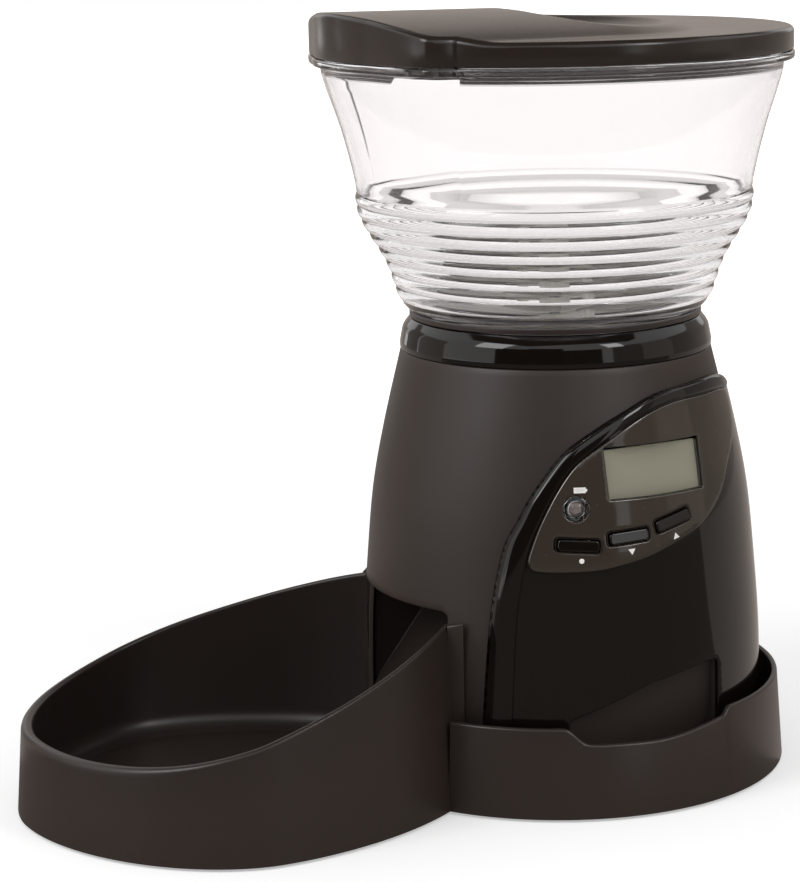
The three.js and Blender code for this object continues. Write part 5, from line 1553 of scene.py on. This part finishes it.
class FEEDER_OT_studio(bpy.types.Operator):
    """Set up the floor, the lamps, the sky and the camera"""

    bl_idname = "feeder.studio"
    bl_label = "Studio"

    def camera(self, studio):
        turn = math.radians(studio.azimuth)
        yaw, pitch, roll = math.radians(3.32), math.radians(11.66), math.radians(-1.2)
        aim = turn + yaw
        flat = Vector((-math.sin(aim), math.cos(aim), 0))
        right = Vector((math.cos(aim), math.sin(aim), 0))
        forward = flat * math.cos(pitch) - Vector((0, 0, math.sin(pitch)))
        up = right.cross(forward)
        across = right * math.cos(roll) + up * math.sin(roll)
        upright = up * math.cos(roll) - right * math.sin(roll)
        focal_pixels, picture_pixels = 2746, 882
        data = bpy.data.cameras.new("camera")
        data.sensor_width = 36
        data.lens = focal_pixels * data.sensor_width / picture_pixels
        camera = bpy.data.objects.new("camera", data)
        camera.matrix_world = Matrix((across, upright, -forward)).transposed().to_4x4()
        camera.location = polar(studio.distance, turn, studio.height)
        bpy.context.scene.collection.objects.link(camera)
        bpy.context.scene.camera = camera

    def lamp(self, name, place, target, size, power):
        data = bpy.data.lights.new(name, "AREA")
        data.shape = "RECTANGLE"
        data.size, data.size_y = size
        data.energy = power
        lamp = bpy.data.objects.new(name, data)
        lamp.location = place
        lamp.rotation_euler = (Vector(target) - Vector(place)).to_track_quat("-Z", "Y").to_euler()
        bpy.context.scene.collection.objects.link(lamp)

    def background_rays(self, paint):
        """1 for the rays that see the background: from the camera, in a reflection or through glass."""
        seen = [paint.node("ShaderNodeLightPath", output=name)
                for name in ("Is Camera Ray", "Is Glossy Ray", "Is Transmission Ray")]
        return seen[0].sum("MAXIMUM", seen[1]).sum("MAXIMUM", seen[2])

    def floor(self):
        side = 8
        mesh = bpy.data.meshes.new("floor")
        mesh.from_pydata(square(side, 0), [], [(0, 1, 2, 3)])
        floor = bpy.data.objects.new("floor", mesh)
        floor.location.z = CAD_LOW.z - 0.05 * MM
        bpy.context.scene.collection.objects.link(floor)
        paint = Paint("white floor")
        paint.set(base_color=(0.86, 0.86, 0.86, 1), roughness=0.9, specular_ior_level=0.0)
        away = paint.node("ShaderNodeVectorMath", {"operation": "LENGTH"}, (paint.place(),), "Value")
        glow = ((away - 0.35) * 0.8).clamped() * 0.6 + 0.42
        paint.set(emission_color=paint.blend(glow * self.background_rays(paint), (0, 0, 0, 1), (1, 1, 1, 1)))
        paint.set(emission_strength=1.0)
        mesh.materials.append(paint.material)

    def sky(self, strength):
        world = bpy.data.worlds.new("studio")
        bpy.context.scene.world = world
        world.use_nodes = True
        paint = Paint.on(world.node_tree)
        ground = world.node_tree.nodes["Background"]
        ground.inputs["Color"].default_value = (1, 1, 1, 1)
        paint.feed(ground.inputs["Strength"], self.background_rays(paint) * (1 - strength) + strength)

    def card(self, name, corners, level):
        """A dark card that only reflections see."""
        mesh = bpy.data.meshes.new(name)
        mesh.from_pydata(corners, [], [(0, 1, 2, 3)])
        card = bpy.data.objects.new(name, mesh)
        bpy.context.scene.collection.objects.link(card)
        card.visible_camera = card.visible_diffuse = card.visible_transmission = card.visible_shadow = False
        paint = Paint(name + " card")
        paint.set(base_color=(0, 0, 0, 1), roughness=1.0, specular_ior_level=0.0)
        paint.set(emission_color=(level, level * 0.88, level * 0.8, 1), emission_strength=1.0)
        mesh.materials.append(paint.material)

    def cards(self):
        """Dark cards round the feeder, over it, and on the floor before and behind it."""
        for name, first, last, low, high, level in CARDS:
            ends = [math.radians(a) for a in (first, last)]
            places = ((ends[0], low), (ends[1], low), (ends[1], high), (ends[0], high))
            self.card(name, [polar(CARD_REACH, angle, height) for angle, height in places], level)
        wide, high = 1.6, 2.3
        self.card("over", square(wide, high), 0.07)
        near, far, reach = 0.02, 2.6, 2
        turn = math.radians(CAMERA_ANGLE)
        toward = Vector((math.sin(turn), -math.cos(turn), 0))
        across = Vector((math.cos(turn), math.sin(turn), 0)) * reach
        base = Vector((0, AXIS_Y, 0.3 * MM))
        middle, front, back = base + toward * near, base + toward * far, base - toward * far
        self.card("under", [middle - across, middle + across, front + across, front - across], 0.18)
        self.card("under_back", [back - across, back + across, middle + across, middle - across], 0.5)

    def execute(self, context):
        studio = context.scene.feeder_studio
        self.camera(studio)
        self.floor()
        self.sky(studio.sky)
        middle = (0, 0, 0.2)
        self.lamp("key_lamp", polar(1.5, math.radians(15), 1.25), middle, (0.7, 0.9), studio.key)
        self.lamp("fill_lamp", polar(1.6, math.radians(112), 1.2), middle, (0.4, 0.7), studio.fill)
        self.cards()
        scene = context.scene
        scene.view_settings.view_transform = "Standard"
        return {"FINISHED"}


OPERATORS = (
    FEEDER_OT_tray, FEEDER_OT_shell, FEEDER_OT_panel, FEEDER_OT_controls, FEEDER_OT_neck, FEEDER_OT_hopper,
    FEEDER_OT_lid, FEEDER_OT_works, FEEDER_OT_studio,
)


class FEEDER_PT_parts(bpy.types.Panel):
    """The feeder's sizes, colours and parts"""

    bl_label = "Pet Feeder"
    bl_space_type = "VIEW_3D"
    bl_region_type = "UI"
    bl_category = "Feeder"

    def draw(self, context):
        layout = self.layout
        for group in (context.scene.feeder_sizes, context.scene.feeder_colours, context.scene.feeder_studio):
            box = layout.box()
            for name in group.__annotations__:
                box.prop(group, name)
        for operator in OPERATORS:
            layout.operator(operator.bl_idname)


CLASSES = (FeederSizes, FeederColours, FeederStudio, *OPERATORS, FEEDER_PT_parts)


def register():
    for one in CLASSES:
        bpy.utils.register_class(one)
    bpy.types.Scene.feeder_sizes = PointerProperty(type=FeederSizes)
    bpy.types.Scene.feeder_colours = PointerProperty(type=FeederColours)
    bpy.types.Scene.feeder_studio = PointerProperty(type=FeederStudio)


def unregister():
    for name in ("feeder_sizes", "feeder_colours", "feeder_studio"):
        delattr(bpy.types.Scene, name)
    for one in reversed(CLASSES):
        bpy.utils.unregister_class(one)


def main():
    register()
    for operator in OPERATORS:
        group, name = operator.bl_idname.split(".")
        getattr(getattr(bpy.ops, group), name)()


if __name__ == "__main__":
    main()
